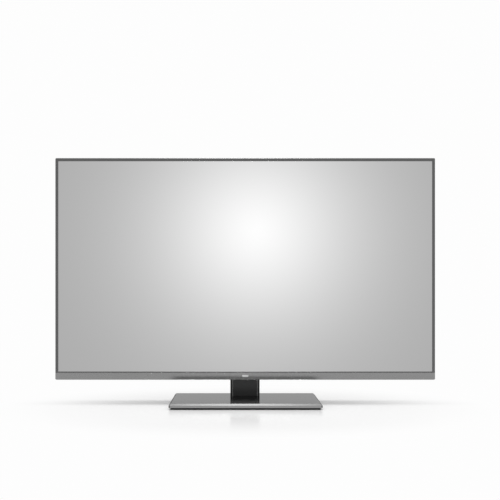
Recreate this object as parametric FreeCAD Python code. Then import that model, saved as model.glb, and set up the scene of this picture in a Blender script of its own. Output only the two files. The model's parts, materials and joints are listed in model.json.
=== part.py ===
"""A flat television on a pedestal stand with a swivel, as an assembly of separate pieces, in millimetres.

Frame: +Z is up, the screen faces -Y and +X is on the viewer's right. The origin is the middle of the
stand's footprint, on the surface that the television stands on. Every depth inside the set is counted
from its front face, which is found from the swivel's place on the base.
"""
import FreeCAD
import Part
import math
import os

# Screen and front frame
SCREEN_W = 930.2
SCREEN_H = 523.2
BEZEL_SIDE = 7.4
BEZEL_TOP = 7.9
BEZEL_FOOT = 3.0
FRAME_WALL = 1.6
FRAME_DEPTH = 14.0
FRAME_EDGE_R = 2.2
CORNER_R = 3.5
OPENING_CHAMFER = 0.7

# Trim strip under the screen, and the sensor window in it
TRIM_H = 17.7
TRIM_SEAM = 0.2
TRIM_FLAT = 8.2
TRIM_RAKE = 2.2
TRIM_BULGE_R = 60.0
TRIM_WALL = 1.5
TRIM_FOOT_R = 2.2
WINDOW_W = 16.0
WINDOW_H = 5.0
WINDOW_RISE = 10.0
WINDOW_PROUD = 0.3
WINDOW_FLANGE = 0.8
WINDOW_FLANGE_T = 0.8
SENSOR_BOARD_W = 44.0
SENSOR_BOARD_H = 8.0
SENSOR_BOARD_T = 1.2
SENSOR_EYE_R = 1.8

# Display stack, from the front
GASKET_T = 0.5
GASKET_W = 3.0
CELL_T = 1.8
CELL_MARGIN = 4.0
CELL_FOOT = 6.0
GUIDE_WALL = 1.1
GUIDE_SHELF_T = 1.2
GUIDE_SHELF_LAP = 3.0
FILM_T = 0.4
LIGHT_GUIDE_T = 3.0
LIGHT_GUIDE_MARGIN = 2.5
REFLECTOR_T = 0.3
BACK_PLATE_T = 1.0
LED_COUNT = 36
LED_W = 7.0
LED_H = 1.1
LED_D = 3.0
LAMP_GAP = 0.1
LED_STRIP_T = 1.0
HEAT_SINK_T = 1.4
HEAT_SINK_H = 26.0

# Rear cover: a thin pan all over and a deep bulge for the electronics
SET_CLEARANCE = 61.4
PAN_DEPTH = 28.0
BULGE_DEPTH = 55.0
COVER_WALL = 2.5
PAN_EDGE_R = 10.0
BULGE_INSET = 92.5
BULGE_RISE = 6.0
BULGE_H = 332.0
BULGE_TOP_SLOPE = 32.0
BULGE_END_SLOPE = 20.0
BULGE_FOOT_R = 8.0
BULGE_EDGE_R = 18.0
WELL_R = 4.5
BOSS_H = 3.0
BOSS_R = 4.0
WELL_EDGE = 18.0
WELL_RISE = 22.0
WELL_COUNT_TOP = 4
WELL_COUNT_SIDE = 3

# Vents, as rows of upright slots, and the speakers' slots underneath
VENT_SLOT_W = 2.8
VENT_SLOT_H = 26.0
VENT_PITCH = 7.0
VENT_COUNT = 27
TOP_VENT_COUNT = 41
TOP_VENT_H = 14.0
TOP_VENT_DROP = 34.0
SPEAKER_SLOT_COUNT = 7
SPEAKER_SLOT_D = 14.0
SPEAKER_PITCH = 5.6

# Wall-mount pattern
VESA = 200.0
VESA_RISE = 182.0
VESA_BOSS_R = 8.0
VESA_HOLE_R = 3.0
VESA_HOLE_DEPTH = 14.0
VESA_RING = 1.0
VESA_SUNK = 1.0

# Electronics
BOARD_T = 1.6
BOARD_RISE = 1.0
BOARD_MARGIN = 7.0
STANDOFF_R = 3.2
BOARD_SIDE_GAP = 5.0
MAIN_BOARD_H = 172.0
POWER_BOARD_H = 166.0
TCON_W = 140.0
TCON_H = 54.0
TCON_RISE = 28.0
LOW_STANDOFF = 4.0
SOURCE_BOARD_W = 380.0
SOURCE_BOARD_H = 14.0
SOURCE_BOARD_T = 1.2
SOURCE_BOARD_GAP = 24.0
SOURCE_BOARD_RISE = 4.5
TAPE_T = 0.1
FILM_COUNT = 6
FILM_STRIP_W = 34.0
FILM_STRIP_T = 0.25
FLAT_CABLE_W = 30.0
FLAT_CABLE_T = 0.4
FLAT_CABLE_INSET = 4.0
WIFI_W = 24.0
WIFI_H = 44.0
BEAD_RISE = 3.0
BEAD_FOOT = 18.0
BEAD_CROWN = 10.0

# Parts that stand on the boards
COOLER_W = 44.0
COOLER_T = 3.0
COOLER_FIN_T = 1.2
COOLER_FIN_H = 10.0
COOLER_FIN_COUNT = 9
TUNER_W = 34.0
TUNER_H = 20.0
TUNER_T = 8.0
CHIP_W = 10.0
CHIP_H = 14.0
CHIP_T = 1.2
SOUND_CHOKE_W = 12.0
SOUND_CHOKE_T = 6.0
CAPACITOR_R = 9.0
CAPACITOR_H = 18.0
CORE_BLOCK_W = 34.0
CORE_BLOCK_H = 30.0
CORE_BLOCK_T = 17.0
BOBBIN_W = 24.0
BOBBIN_H = 40.0
BOBBIN_T = 12.0
MAINS_CHOKE_W = 26.0
MAINS_CHOKE_T = 14.0
COIL_W = 24.0
COIL_H = 22.0
COIL_T = 15.0
RECTIFIER_FIN_W = 90.0
RECTIFIER_FIN_T = 4.0
RECTIFIER_FIN_H = 18.0
RADIO_CAN_W = 18.0
RADIO_CAN_H = 24.0
RADIO_CAN_T = 2.4
TIMING_CHIP_W = 20.0
TIMING_CHIP_T = 2.0

# Sockets and the recesses they open into
SOCKET_PITCH = 25.0
SOCKET_END = 14.0
SOCKET_GAP = 0.4
SIDE_RECESS_W = 80.0
LOWER_RECESS_H = 82.0
LOWER_RECESS_INSET = 12.5
SIDE_RECESS_RISE = 22.0
POWER_RECESS_W = 62.0
INLET_END = 20.0
POWER_RECESS_INSET = 68.0
SIDE_SOCKETS = ("jack", "usb", "usb", "hdmi", "hdmi")
LOWER_SOCKETS = ("hdmi", "lan", "optical", "aerial", "aerial")

# Speakers
SPEAKER_W = 52.0
SPEAKER_H = 80.0
SPEAKER_EDGE = 32.0
SPEAKER_WALL = 2.0
DRIVER_W = 40.0
DRIVER_D = 16.0
DRIVER_BACK = 9.5
DRIVER_RIM = 4.0
DRIVER_FRAME_T = 8.5
CONE_DEPTH = 7.0
MAGNET_R = 5.3
MAGNET_H = 14.0

# Joystick for the menus, on the back behind the viewer's right edge
JOYSTICK_EDGE = 46.0
JOYSTICK_RISE = 72.0
JOYSTICK_TILT = 5.0
JOYSTICK_TRAVEL = 0.5
JOYSTICK_SWITCH = 13.0
JOYSTICK_CAVITY_R = 5.0
PIVOT_RISE = 3.5
TRUNNION_WALL = 0.5
RING_R = 4.3
RING_BORE_R = 3.0
RING_T = 1.6
TRUNNION_R = 0.7
TRUNNION_GAP = 0.06
STEM_R = 2.0
STEM_FIT = 0.08
KNOB_R = 6.4
KNOB_PROUD = 2.0
KNOB_CAP_T = 2.0
KNOB_EDGE_R = 0.8
KNOB_DISH = 0.6
DISH_R = 17.0
DISH_DEPTH = 1.2

# Stand: base
BASE_W = 366.0
BASE_D = 210.0
BASE_PLATE_T = 9.5
BASE_CHAMFER = 4.2
BASE_CORNER_R = 4.0
BASE_WALL = 2.5
SWIVEL_REAR = 40.2
WEIGHT_T = 3.0
TRAY_H = 4.0
TRAY_INSET = 4.0
TRAY_WALL = 1.2
FOOT_H = 0.8
FOOT_R = 9.0
FOOT_INSET = 16.0
BASE_BOSS_R = 4.0

# Stand: neck and swivel
NECK_W = 74.6
NECK_D = 50.0
NECK_TOP_D = 20.0
NECK_WALL = 2.5
NECK_EDGE_R = 4.5
NECK_UPRIGHT = 24.0
NECK_LAP = 98.0
NECK_LIFT = 0.3
CORE_T = 3.0
POCKET_DEPTH = 4.0
POCKET_GAP = 0.5
BRACKET_W = 104.0
BRACKET_T = 3.0
BRACKET_FLANGE = 13.0
NUT_R = 5.0
NUT_H = 6.0
STAND_SCREW_X = 18.0
STAND_SCREW_DROP = 15.0
STAND_SCREW_PITCH = 32.0
SWIVEL_RANGE = 20.0
WASHER_T = 0.6
HUB_FLANGE_R = 22.0
HUB_FLANGE_T = 3.0
HUB_R = 16.0
HUB_FIT = 0.08
HUB_THREAD = 6.0
BUSH_T = 2.0
SPRING_WASHER_T = 1.2
RETAINER_R = 30.0
RETAINER_T = 1.5
STOP_PIN_R = 2.5
STOP_ARC_R = 25.0
CLIP_W = 30.0
CLIP_D = 13.0
CLIP_H = 12.0
CLIP_T = 2.2
CLIP_MOUTH = 9.0
CLIP_RISE = 52.0

# Clearances and fasteners
GAP = 0.3
OVERCUT = 1.0
SCREW_R = 1.5
SCREW_HEAD_R = 3.0
SCREW_HEAD_H = 2.0
SCREW_FIT = 0.1
LARGE_SCREW_R = 2.0
LARGE_SCREW_HEAD_R = 4.0

# Places that follow from the sizes above
SET_W = SCREEN_W + 2 * BEZEL_SIDE
HALF_W = SET_W / 2
SET_BOTTOM = SET_CLEARANCE
TRIM_TOP = SET_BOTTOM + TRIM_H
OPENING_LOW = TRIM_TOP + BEZEL_FOOT
OPENING_HIGH = OPENING_LOW + SCREEN_H
SET_TOP = OPENING_HIGH + BEZEL_TOP
AXIS_Y = BASE_D / 2 - SWIVEL_REAR
NECK_Y = AXIS_Y - NECK_D / 2
POCKET_Y = NECK_Y - GAP
BULGE_Y = POCKET_Y + POCKET_DEPTH
FRONT_Y = BULGE_Y - BULGE_DEPTH
LIP_Y = FRONT_Y + FRAME_WALL
CELL_Y = LIP_Y + GASKET_T
SHELF_Y = CELL_Y + CELL_T
FILM_Y = SHELF_Y + GUIDE_SHELF_T
LIGHT_GUIDE_Y = FILM_Y + 2 * FILM_T
REFLECTOR_Y = LIGHT_GUIDE_Y + LIGHT_GUIDE_T
BACK_PLATE_Y = REFLECTOR_Y + REFLECTOR_T
CHASSIS_Y = BACK_PLATE_Y + BACK_PLATE_T
SEAM_Y = FRONT_Y + FRAME_DEPTH
PAN_Y = FRONT_Y + PAN_DEPTH
BULGE_HALF = HALF_W - BULGE_INSET
BULGE_LOW = SET_BOTTOM + BULGE_RISE
BULGE_HIGH = BULGE_LOW + BULGE_H
CELL_HALF_W = SCREEN_W / 2 + CELL_MARGIN
CELL_LOW = OPENING_LOW - CELL_FOOT
CELL_HIGH = OPENING_HIGH + CELL_MARGIN
GUIDE_IN = CELL_HALF_W + GAP
GUIDE_OUT = GUIDE_IN + GUIDE_WALL
GUIDE_LOW = CELL_LOW - LAMP_GAP - GUIDE_WALL
HEAT_SINK_LOW = GUIDE_LOW + GUIDE_WALL
LED_LOW = HEAT_SINK_LOW + HEAT_SINK_T + LED_STRIP_T
LIGHT_GUIDE_LOW = LED_LOW + LED_H + LAMP_GAP
SOURCE_BOARD_Y = CHASSIS_Y + HEAT_SINK_T + TAPE_T
SOURCE_REAR_Y = SOURCE_BOARD_Y + SOURCE_BOARD_T
SOURCE_BOARD_LOW = HEAT_SINK_LOW + SOURCE_BOARD_RISE
WELL_Y = CHASSIS_Y + BOSS_H + COVER_WALL
BOARD_Y = PAN_Y + BOARD_RISE
VESA_Z = BULGE_LOW + VESA_RISE
VESA_FACE_Y = BULGE_Y - VESA_SUNK
SIDE_PANEL_X = SIDE_RECESS_W - BULGE_HALF
LOWER_PANEL_Z = BULGE_LOW + LOWER_RECESS_H
SIDE_LOW = LOWER_PANEL_Z + SIDE_RECESS_RISE
SIDE_HIGH = SIDE_LOW + 2 * SOCKET_END + SOCKET_PITCH * (len(SIDE_SOCKETS) - 1)
LOWER_X0 = SIDE_PANEL_X + LOWER_RECESS_INSET
LOWER_X1 = LOWER_X0 + 2 * SOCKET_END + SOCKET_PITCH * (len(LOWER_SOCKETS) - 1)
BOARD_LOW = LOWER_PANEL_Z + COVER_WALL + GAP
POWER_X0 = VESA / 2 + VESA_BOSS_R + BOARD_SIDE_GAP
POWER_X1 = BULGE_HALF - POWER_RECESS_INSET
MAIN_X0 = SIDE_PANEL_X + COVER_WALL + GAP
MAIN_X1 = -POWER_X0
INLET_X = POWER_X1 - POWER_RECESS_W / 2 - INLET_END
TCON_LOW = BOARD_LOW + TCON_RISE
SPEAKER_X = BULGE_HALF - SPEAKER_EDGE - SPEAKER_W / 2
SPEAKER_LOW = BULGE_LOW + COVER_WALL + GAP
DRIVER_Y = PAN_Y + DRIVER_BACK
JOYSTICK_X = HALF_W - JOYSTICK_EDGE
JOYSTICK_Z = SET_BOTTOM + JOYSTICK_RISE
SWITCH_Y = CHASSIS_Y + LOW_STANDOFF + BOARD_T
PIVOT_Y = SWITCH_Y + PIVOT_RISE
KNOB_Y = PAN_Y + KNOB_PROUD
TRAY_LOW = FOOT_H
PLATE_LOW = TRAY_LOW + TRAY_H
BASE_TOP = PLATE_LOW + BASE_PLATE_T
WEIGHT_HIGH = BASE_TOP - BASE_WALL
WEIGHT_LOW = WEIGHT_HIGH - WEIGHT_T
NECK_LOW = BASE_TOP + NECK_LIFT
NECK_TOP = SET_BOTTOM + NECK_LAP
BRACKET_Y = POCKET_Y - COVER_WALL
HUB_LOW = WEIGHT_LOW - SPRING_WASHER_T
FLANGE_LOW = BASE_TOP + WASHER_T
CORE_LOW = FLANGE_LOW + HUB_FLANGE_T


def vec(x, y, z):
    return FreeCAD.Vector(x, y, z)


PLACES = {
    "x": lambda p, level: vec(level, p.x, p.y),
    "y": lambda p, level: vec(p.x, level, p.y),
    "z": lambda p, level: vec(p.x, p.y, level),
}
DIRECTIONS = {"x": vec(1, 0, 0), "y": vec(0, 1, 0), "z": vec(0, 0, 1)}


def block(x, y, z):
    """A box between two limits on each axis."""
    return Part.makeBox(x[1] - x[0], y[1] - y[0], z[1] - z[0], vec(x[0], y[0], z[0]))


def rod(axis, radius, limits, centre):
    """A cylinder along an axis between two limits, centred on a point of the other two axes."""
    base = PLACES[axis](vec(centre[0], centre[1], 0), limits[0])
    return Part.makeCylinder(radius, limits[1] - limits[0], base, DIRECTIONS[axis])


def rods(axis, radius, limits, places):
    """The same cylinder at each of several places."""
    return [rod(axis, radius, limits, place) for place in places]


def wire(corners, place):
    """A closed wire through corners of (a, b, radius), each one rounded by its radius."""
    turns = []
    for i, (a, b, radius) in enumerate(corners):
        here = vec(a, b, 0)
        after = corners[(i + 1) % len(corners)]
        to_before = (vec(corners[i - 1][0], corners[i - 1][1], 0) - here).normalize()
        to_after = (vec(after[0], after[1], 0) - here).normalize()
        if radius <= 0:
            turns.append((here, None, here))
            continue
        half = to_before.getAngle(to_after) / 2
        reach = radius / math.tan(half)
        inward = (to_before + to_after).normalize()
        middle = here + inward * (radius / math.sin(half) - radius)
        turns.append((here + to_before * reach, middle, here + to_after * reach))
    edges = []
    for i, (start, middle, end) in enumerate(turns):
        if middle is not None:
            edges.append(Part.Arc(place(start), place(middle), place(end)).toShape())
        following = turns[(i + 1) % len(turns)][0]
        if (following - end).Length > 1e-6:
            edges.append(Part.LineSegment(place(end), place(following)).toShape())
    return Part.Wire(edges)


def prism(axis, corners, low, high):
    """The outline through corners, extruded along an axis from low to high."""
    face = Part.Face(wire(corners, lambda p: PLACES[axis](p, low)))
    return face.extrude(DIRECTIONS[axis] * (high - low))


def rectangle(a, b, low_r=0.0, high_r=0.0):
    """Corners of a rectangle, the two lower ones rounded by low_r and the two upper ones by high_r."""
    return [(a[0], b[0], low_r), (a[1], b[0], low_r), (a[1], b[1], high_r), (a[0], b[1], high_r)]


def pill(a, b, length, height):
    """Corners of a long outline with half-round ends, centred on (a, b)."""
    radius = height / 2 * 0.999
    return rectangle((a - length / 2, a + length / 2), (b - height / 2, b + height / 2), radius, radius)


def inset(corners, amount, open_edge=None):
    """The outline with every edge moved inwards.

    An open edge moves outwards, so that a hollow breaks through it.
    """
    if amount == 0:
        return corners
    count = len(corners)
    pairs = [(corners[i - 1], corners[i]) for i in range(count)]
    area = sum(before[0] * here[1] - here[0] * before[1] for before, here in pairs)
    turn = 1 if area > 0 else -1
    normals = []
    for i in range(count):
        after = corners[(i + 1) % count]
        along = vec(after[0] - corners[i][0], after[1] - corners[i][1], 0).normalize()
        normals.append((-along.y * turn, along.x * turn))
    moved = []
    for i, (a, b, radius) in enumerate(corners):
        before, after = normals[i - 1], normals[i]
        shift_before = -OVERCUT if (i - 1) % count == open_edge else amount
        shift_after = -OVERCUT if i == open_edge else amount
        cross = before[0] * after[1] - before[1] * after[0]
        step_a = (shift_before * after[1] - shift_after * before[1]) / cross
        step_b = (shift_after * before[0] - shift_before * after[0]) / cross
        kept = 0 if radius == 0 else max(radius - amount * math.copysign(1, cross * turn), 0)
        moved.append((a + step_a, b + step_b, kept))
    return moved


def meet(*shapes):
    """What all the shapes have in common."""
    result = shapes[0]
    for shape in shapes[1:]:
        result = result.common(shape)
    return result


def group(shapes):
    """Several separate solids kept as one piece of the parts list."""
    return Part.makeCompound(shapes)


def screw(axis, place, seat, length, radius, head_r, facing=1):
    """A pan-head screw: its head stands on the seat towards facing and its shank goes the other way."""
    head = sorted((seat, seat + facing * SCREW_HEAD_H))
    shank = sorted((seat, seat - facing * length))
    top = rod(axis, head_r, head, place)
    return top.fuse(rod(axis, radius, shank, place)).removeSplitter()


def frame_outline():
    """The set seen from the front."""
    return rectangle((-HALF_W, HALF_W), (SET_BOTTOM, SET_TOP), CORNER_R, CORNER_R)


def front_form(rear, side_corners):
    """The set's front part as one block back to the depth rear, with its outer edges rounded."""
    edge = min(FRAME_EDGE_R, FRAME_DEPTH / 3)
    plan = rectangle((-HALF_W, HALF_W), (FRONT_Y, rear), edge, 0)
    return meet(
        prism("y", frame_outline(), FRONT_Y, rear),
        prism("z", plan, SET_BOTTOM, SET_TOP),
        prism("x", side_corners, -HALF_W, HALF_W),
    )


def bezel_frame():
    """The dark frame round the screen: a lip in front and walls at the sides and the top, open below."""
    edge = min(FRAME_EDGE_R, FRAME_DEPTH / 3)
    side = rectangle((FRONT_Y, SEAM_Y), (TRIM_TOP, SET_TOP))
    side[3] = (FRONT_Y, SET_TOP, edge)
    body = front_form(SEAM_Y, side)
    hollow = block(
        (-HALF_W + FRAME_WALL, HALF_W - FRAME_WALL),
        (LIP_Y, SEAM_Y + OVERCUT),
        (TRIM_TOP - OVERCUT, SET_TOP - FRAME_WALL),
    )
    half_screen = SCREEN_W / 2
    opening = block(
        (-half_screen, half_screen), (FRONT_Y - OVERCUT, SEAM_Y), (OPENING_LOW, OPENING_HIGH)
    )
    bevel = opening_bevel(half_screen)
    return body.cut([hollow, opening, bevel])


def opening_bevel(half_screen):
    """The slope that runs round the front edge of the opening."""
    outer = rectangle(
        (-half_screen - OPENING_CHAMFER, half_screen + OPENING_CHAMFER),
        (OPENING_LOW - OPENING_CHAMFER, OPENING_HIGH + OPENING_CHAMFER),
    )
    inner = rectangle((-half_screen, half_screen), (OPENING_LOW, OPENING_HIGH))
    front = wire(outer, lambda p: vec(p.x, FRONT_Y, p.y))
    rear = wire(inner, lambda p: vec(p.x, FRONT_Y + OPENING_CHAMFER, p.y))
    return Part.makeLoft([front, rear], True, True)


def trim_form(amount):
    """The trim strip's outer form, or with its wall as the amount, the hollow behind it."""
    high = TRIM_TOP - TRIM_SEAM
    side = [
        (FRONT_Y, high, 0),
        (FRONT_Y, high - TRIM_FLAT, TRIM_BULGE_R),
        (FRONT_Y + TRIM_RAKE, SET_BOTTOM, TRIM_FOOT_R),
        (SEAM_Y, SET_BOTTOM, 0),
        (SEAM_Y, high, 0),
    ]
    edge = min(FRAME_EDGE_R, FRAME_DEPTH / 3)
    plan = rectangle((-HALF_W, HALF_W), (FRONT_Y, SEAM_Y), edge, 0)
    return meet(
        prism("x", open_above(inset(side, amount, 3), amount), -HALF_W, HALF_W),
        prism("y", inset(frame_outline(), amount), FRONT_Y - OVERCUT, SEAM_Y + OVERCUT),
        prism("z", inset(plan, amount, 2), SET_BOTTOM, SET_TOP),
    )


def open_above(corners, amount):
    """Moves the strip's upper edge above its top when the outline is that of the hollow."""
    if amount == 0:
        return corners
    lift = amount + OVERCUT
    first, last = corners[0], corners[-1]
    return [(first[0], first[1] + lift, 0)] + corners[1:-1] + [(last[0], last[1] + lift, 0)]


def window_corners(grow):
    return pill(0, SET_BOTTOM + WINDOW_RISE, WINDOW_W + 2 * grow, WINDOW_H + 2 * grow)


def bottom_trim():
    """The silver strip under the screen, wrapped under the set, with a hole for the sensor window."""
    strip = trim_form(0).cut(trim_form(TRIM_WALL))
    rear = FRONT_Y + TRIM_RAKE + 2 * TRIM_WALL
    return strip.cut(prism("y", window_corners(SCREW_FIT), FRONT_Y - OVERCUT, rear))


def sensor_window():
    """The plain lens in the strip that the remote control's receiver looks through."""
    lens = meet(
        trim_form(0).translated(vec(0, -WINDOW_PROUD, 0)),
        prism("y", window_corners(0), FRONT_Y - OVERCUT, window_rear()),
    )
    rear = window_rear()
    flange = prism("y", window_corners(WINDOW_FLANGE), rear, rear + WINDOW_FLANGE_T)
    return lens.fuse(flange).removeSplitter()


def window_rear():
    """The depth at which the lens clears the inside of the raked strip."""
    return FRONT_Y + TRIM_RAKE + TRIM_WALL + SCREW_FIT


def sensor_board():
    """The receiver's small board behind the window, with its eye and the standby lamp."""
    face = window_rear() + WINDOW_FLANGE_T + 2 * SENSOR_EYE_R
    centre = SET_BOTTOM + WINDOW_RISE
    low = SET_BOTTOM + TRIM_WALL + GAP
    half = SENSOR_BOARD_W / 2
    plate = block((-half, half), (face, face + SENSOR_BOARD_T), (low, low + SENSOR_BOARD_H))
    eyes = []
    for side in (-1, 1):
        spot = (side * WINDOW_W / 4, min(centre, low + SENSOR_BOARD_H - SENSOR_EYE_R))
        eyes.append(rod("y", SENSOR_EYE_R, (face - 2 * SENSOR_EYE_R + SCREW_FIT, face), spot))
    return plate.fuse(eyes).removeSplitter()


def ring(outer, hole, y):
    """A flat rectangular ring between two depths; outer and hole are (x limits, z limits)."""
    body = block(outer[0], y, outer[1])
    return body.cut(block(hole[0], (y[0] - OVERCUT, y[1] + OVERCUT), hole[1]))


def screen_gasket():
    """The foam strip between the frame's lip and the display cell."""
    half = SCREEN_W / 2 + SCREW_FIT
    low, high = OPENING_LOW - SCREW_FIT, OPENING_HIGH + SCREW_FIT
    width = min(GASKET_W, BEZEL_FOOT - TRIM_SEAM)
    outer = ((-half - width, half + width), (low - width, high + width))
    return ring(outer, ((-half, half), (low, high)), (LIP_Y, CELL_Y))


def lcd_cell():
    """The display's glass sandwich; its front is the screen."""
    return block((-CELL_HALF_W, CELL_HALF_W), (CELL_Y, SHELF_Y), (CELL_LOW, CELL_HIGH))


def panel_guide():
    """The moulded frame that holds the glass in front of its shelf and the light guide behind it."""
    outer = ((-GUIDE_OUT, GUIDE_OUT), (GUIDE_LOW, CELL_HIGH + GAP + GUIDE_WALL))
    inner = ((-GUIDE_IN, GUIDE_IN), (GUIDE_LOW + GUIDE_WALL, CELL_HIGH + GAP))
    lap = CELL_MARGIN - GUIDE_SHELF_LAP
    half = SCREEN_W / 2 + lap
    walls = ring(outer, inner, (CELL_Y, BACK_PLATE_Y))
    shelf_hole = ((-half, half), (OPENING_LOW - lap, OPENING_HIGH + lap))
    shelf = ring(inner, shelf_hole, (SHELF_Y, FILM_Y))
    return walls.fuse(shelf).removeSplitter()


def film(y, thickness):
    """A sheet of the light path, a little larger than the picture."""
    half = SCREEN_W / 2 + LIGHT_GUIDE_MARGIN
    return block(
        (-half, half), (y, y + thickness), (LIGHT_GUIDE_LOW, OPENING_HIGH + LIGHT_GUIDE_MARGIN)
    )


def led_strip():
    """The long board that carries the lamps under the light guide's lower edge."""
    half = SCREEN_W / 2
    y = (LIGHT_GUIDE_Y, LIGHT_GUIDE_Y + LED_D)
    return block((-half, half), y, (LED_LOW - LED_STRIP_T, LED_LOW))


def led_lamps():
    """The lamps, evenly spaced along the strip."""
    pitch = (SCREEN_W - 2 * LED_W) / (LED_COUNT - 1)
    y = (LIGHT_GUIDE_Y, LIGHT_GUIDE_Y + LED_D)
    z = (LED_LOW, LED_LOW + LED_H)
    lamps = []
    for i in range(LED_COUNT):
        x = -SCREEN_W / 2 + LED_W + i * pitch
        lamps.append(block((x - LED_W / 2, x + LED_W / 2), y, z))
    return group(lamps)


def led_heat_sink():
    """The angle that carries the lamps' heat round the back plate's lower edge to its rear."""
    half = SCREEN_W / 2
    corners = [
        (LIGHT_GUIDE_Y, HEAT_SINK_LOW, 0),
        (CHASSIS_Y + HEAT_SINK_T, HEAT_SINK_LOW, HEAT_SINK_T),
        (CHASSIS_Y + HEAT_SINK_T, HEAT_SINK_LOW + HEAT_SINK_H, 0),
        (CHASSIS_Y, HEAT_SINK_LOW + HEAT_SINK_H, 0),
        (CHASSIS_Y, HEAT_SINK_LOW + HEAT_SINK_T, 0),
        (LIGHT_GUIDE_Y, HEAT_SINK_LOW + HEAT_SINK_T, 0),
    ]
    sink = prism("x", corners, -half, half)
    return sink.cut(rods("y", BOSS_R + GAP, (BACK_PLATE_Y, WELL_Y), well_places()))


def well_places():
    """Where the rear cover is screwed on, as (x, z), all round the thin pan."""
    places = []
    side_x = HALF_W - WELL_EDGE
    top_z = SET_TOP - WELL_EDGE
    low_z = SET_BOTTOM + WELL_RISE
    for i in range(WELL_COUNT_TOP):
        places.append((-side_x + 2 * side_x * i / (WELL_COUNT_TOP - 1), top_z))
    for side in (-1, 1):
        for i in range(WELL_COUNT_SIDE):
            places.append((side * side_x, low_z + (top_z - low_z) * i / WELL_COUNT_SIDE))
    return places


def board_areas():
    """Each board as (x limits, z limits, depth of its rear face)."""
    tcon_y = CHASSIS_Y + LOW_STANDOFF + BOARD_T
    half_switch = JOYSTICK_SWITCH / 2 + 2 * STANDOFF_R + GAP
    wifi_x = -HALF_W + JOYSTICK_EDGE
    return {
        "main": ((MAIN_X0, MAIN_X1), (BOARD_LOW, BOARD_LOW + MAIN_BOARD_H), BOARD_Y),
        "power": ((POWER_X0, POWER_X1), (BOARD_LOW, BOARD_LOW + POWER_BOARD_H), BOARD_Y),
        "tcon": ((-TCON_W / 2, TCON_W / 2), (TCON_LOW, TCON_LOW + TCON_H), tcon_y),
        "joystick": (
            (JOYSTICK_X - half_switch, JOYSTICK_X + half_switch),
            (JOYSTICK_Z - JOYSTICK_SWITCH / 2 - GAP, JOYSTICK_Z + JOYSTICK_SWITCH / 2 + GAP),
            SWITCH_Y,
        ),
        "wifi": (
            (wifi_x - WIFI_W / 2, wifi_x + WIFI_W / 2),
            (JOYSTICK_Z, JOYSTICK_Z + WIFI_H),
            SWITCH_Y,
        ),
    }


def standoff_places():
    """Where the boards are screwed down, as (x, z, depth of the board's rear face)."""
    places = []
    for name, (x, z, rear) in board_areas().items():
        margin = BOARD_MARGIN if name in ("main", "power") else STANDOFF_R
        middle = (z[0] + z[1]) / 2
        if name in ("main", "power"):
            for a in (x[0] + margin, x[1] - margin):
                places += [(a, z[0] + 3 * margin, rear), (a, z[1] - margin, rear)]
        elif name == "wifi":
            places.append(((x[0] + x[1]) / 2, z[1] - margin, rear))
        else:
            places += [(x[0] + margin, middle, rear), (x[1] - margin, middle, rear)]
    return places


def back_plate():
    """The pressed steel plate behind the light guide, with standoffs for the boards and the cover."""
    low = HEAT_SINK_LOW + HEAT_SINK_T
    half = GUIDE_OUT - GAP
    high = CELL_HIGH + GAP
    plate = block((-half, half), (BACK_PLATE_Y, CHASSIS_Y), (low, high))
    added = []
    holes = []
    for x, z in well_places():
        added.append(rod("y", BOSS_R, (BACK_PLATE_Y, CHASSIS_Y + BOSS_H), (x, z)))
        holes.append(rod("y", SCREW_R + SCREW_FIT, (BACK_PLATE_Y - OVERCUT, PAN_Y), (x, z)))
    for x, z, rear in standoff_places():
        added.append(rod("y", STANDOFF_R, (BACK_PLATE_Y, rear - BOARD_T), (x, z)))
        holes.append(rod("y", SCREW_R + SCREW_FIT, (BACK_PLATE_Y - OVERCUT, rear), (x, z)))
    for z in (BULGE_HIGH + COVER_WALL, (BULGE_HIGH + high) / 2):
        added.append(bead(z, 0))
        holes.append(bead(z, BACK_PLATE_T))
    through = (BACK_PLATE_Y - OVERCUT, CHASSIS_Y + OVERCUT)
    holes += rods("y", SCREW_R + SCREW_FIT, through, bracket_screw_places())
    return plate.fuse(added).cut(holes).removeSplitter()


def bead(z, amount):
    """A bead pressed into the back plate, or with the plate's thickness as the amount, its hollow."""
    reach = BULGE_HALF - amount
    foot = BEAD_FOOT / 2 - amount
    crown = BEAD_CROWN / 2 - amount / 2
    front = BACK_PLATE_Y - (OVERCUT if amount else 0)
    rear = CHASSIS_Y + BEAD_RISE - amount
    corners = [(front, z - foot, 0), (rear, z - crown, 0), (rear, z + crown, 0), (front, z + foot, 0)]
    return prism("x", corners, -reach, reach)


def source_boards():
    """The two long boards that drive the glass, taped to the heat sink's rear."""
    z = (SOURCE_BOARD_LOW, SOURCE_BOARD_LOW + SOURCE_BOARD_H)
    near, far = SOURCE_BOARD_GAP / 2, SOURCE_BOARD_GAP / 2 + SOURCE_BOARD_W
    ends = [(-far, -near), (near, far)]
    return group([block(x, (SOURCE_BOARD_Y, SOURCE_REAR_Y), z) for x in ends])


def driver_films():
    """The thin films that run from the glass's lower edge, under the guide, up to the source boards."""
    front = CELL_Y - FILM_STRIP_T
    rear = SOURCE_REAR_Y
    low = GUIDE_LOW - GAP - FILM_STRIP_T
    high = SOURCE_BOARD_LOW + SOURCE_BOARD_H / 2
    pitch = SOURCE_BOARD_W / FILM_COUNT
    films = []
    for side in (-1, 1):
        for i in range(FILM_COUNT):
            centre = side * (SOURCE_BOARD_GAP / 2 + pitch * (i + 0.5))
            x = (centre - FILM_STRIP_W / 2, centre + FILM_STRIP_W / 2)
            wide = (x[0] - OVERCUT, x[1] + OVERCUT)
            outer = block(x, (front, rear + FILM_STRIP_T), (low, high))
            inner = block(wide, (front + FILM_STRIP_T, rear), (low + FILM_STRIP_T, high + OVERCUT))
            on_glass = CELL_LOW + CELL_FOOT / 4
            over_glass = block(wide, (front - OVERCUT, rear), (on_glass, high + OVERCUT))
            films.append(outer.cut([inner, over_glass]))
    return group(films)


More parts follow.
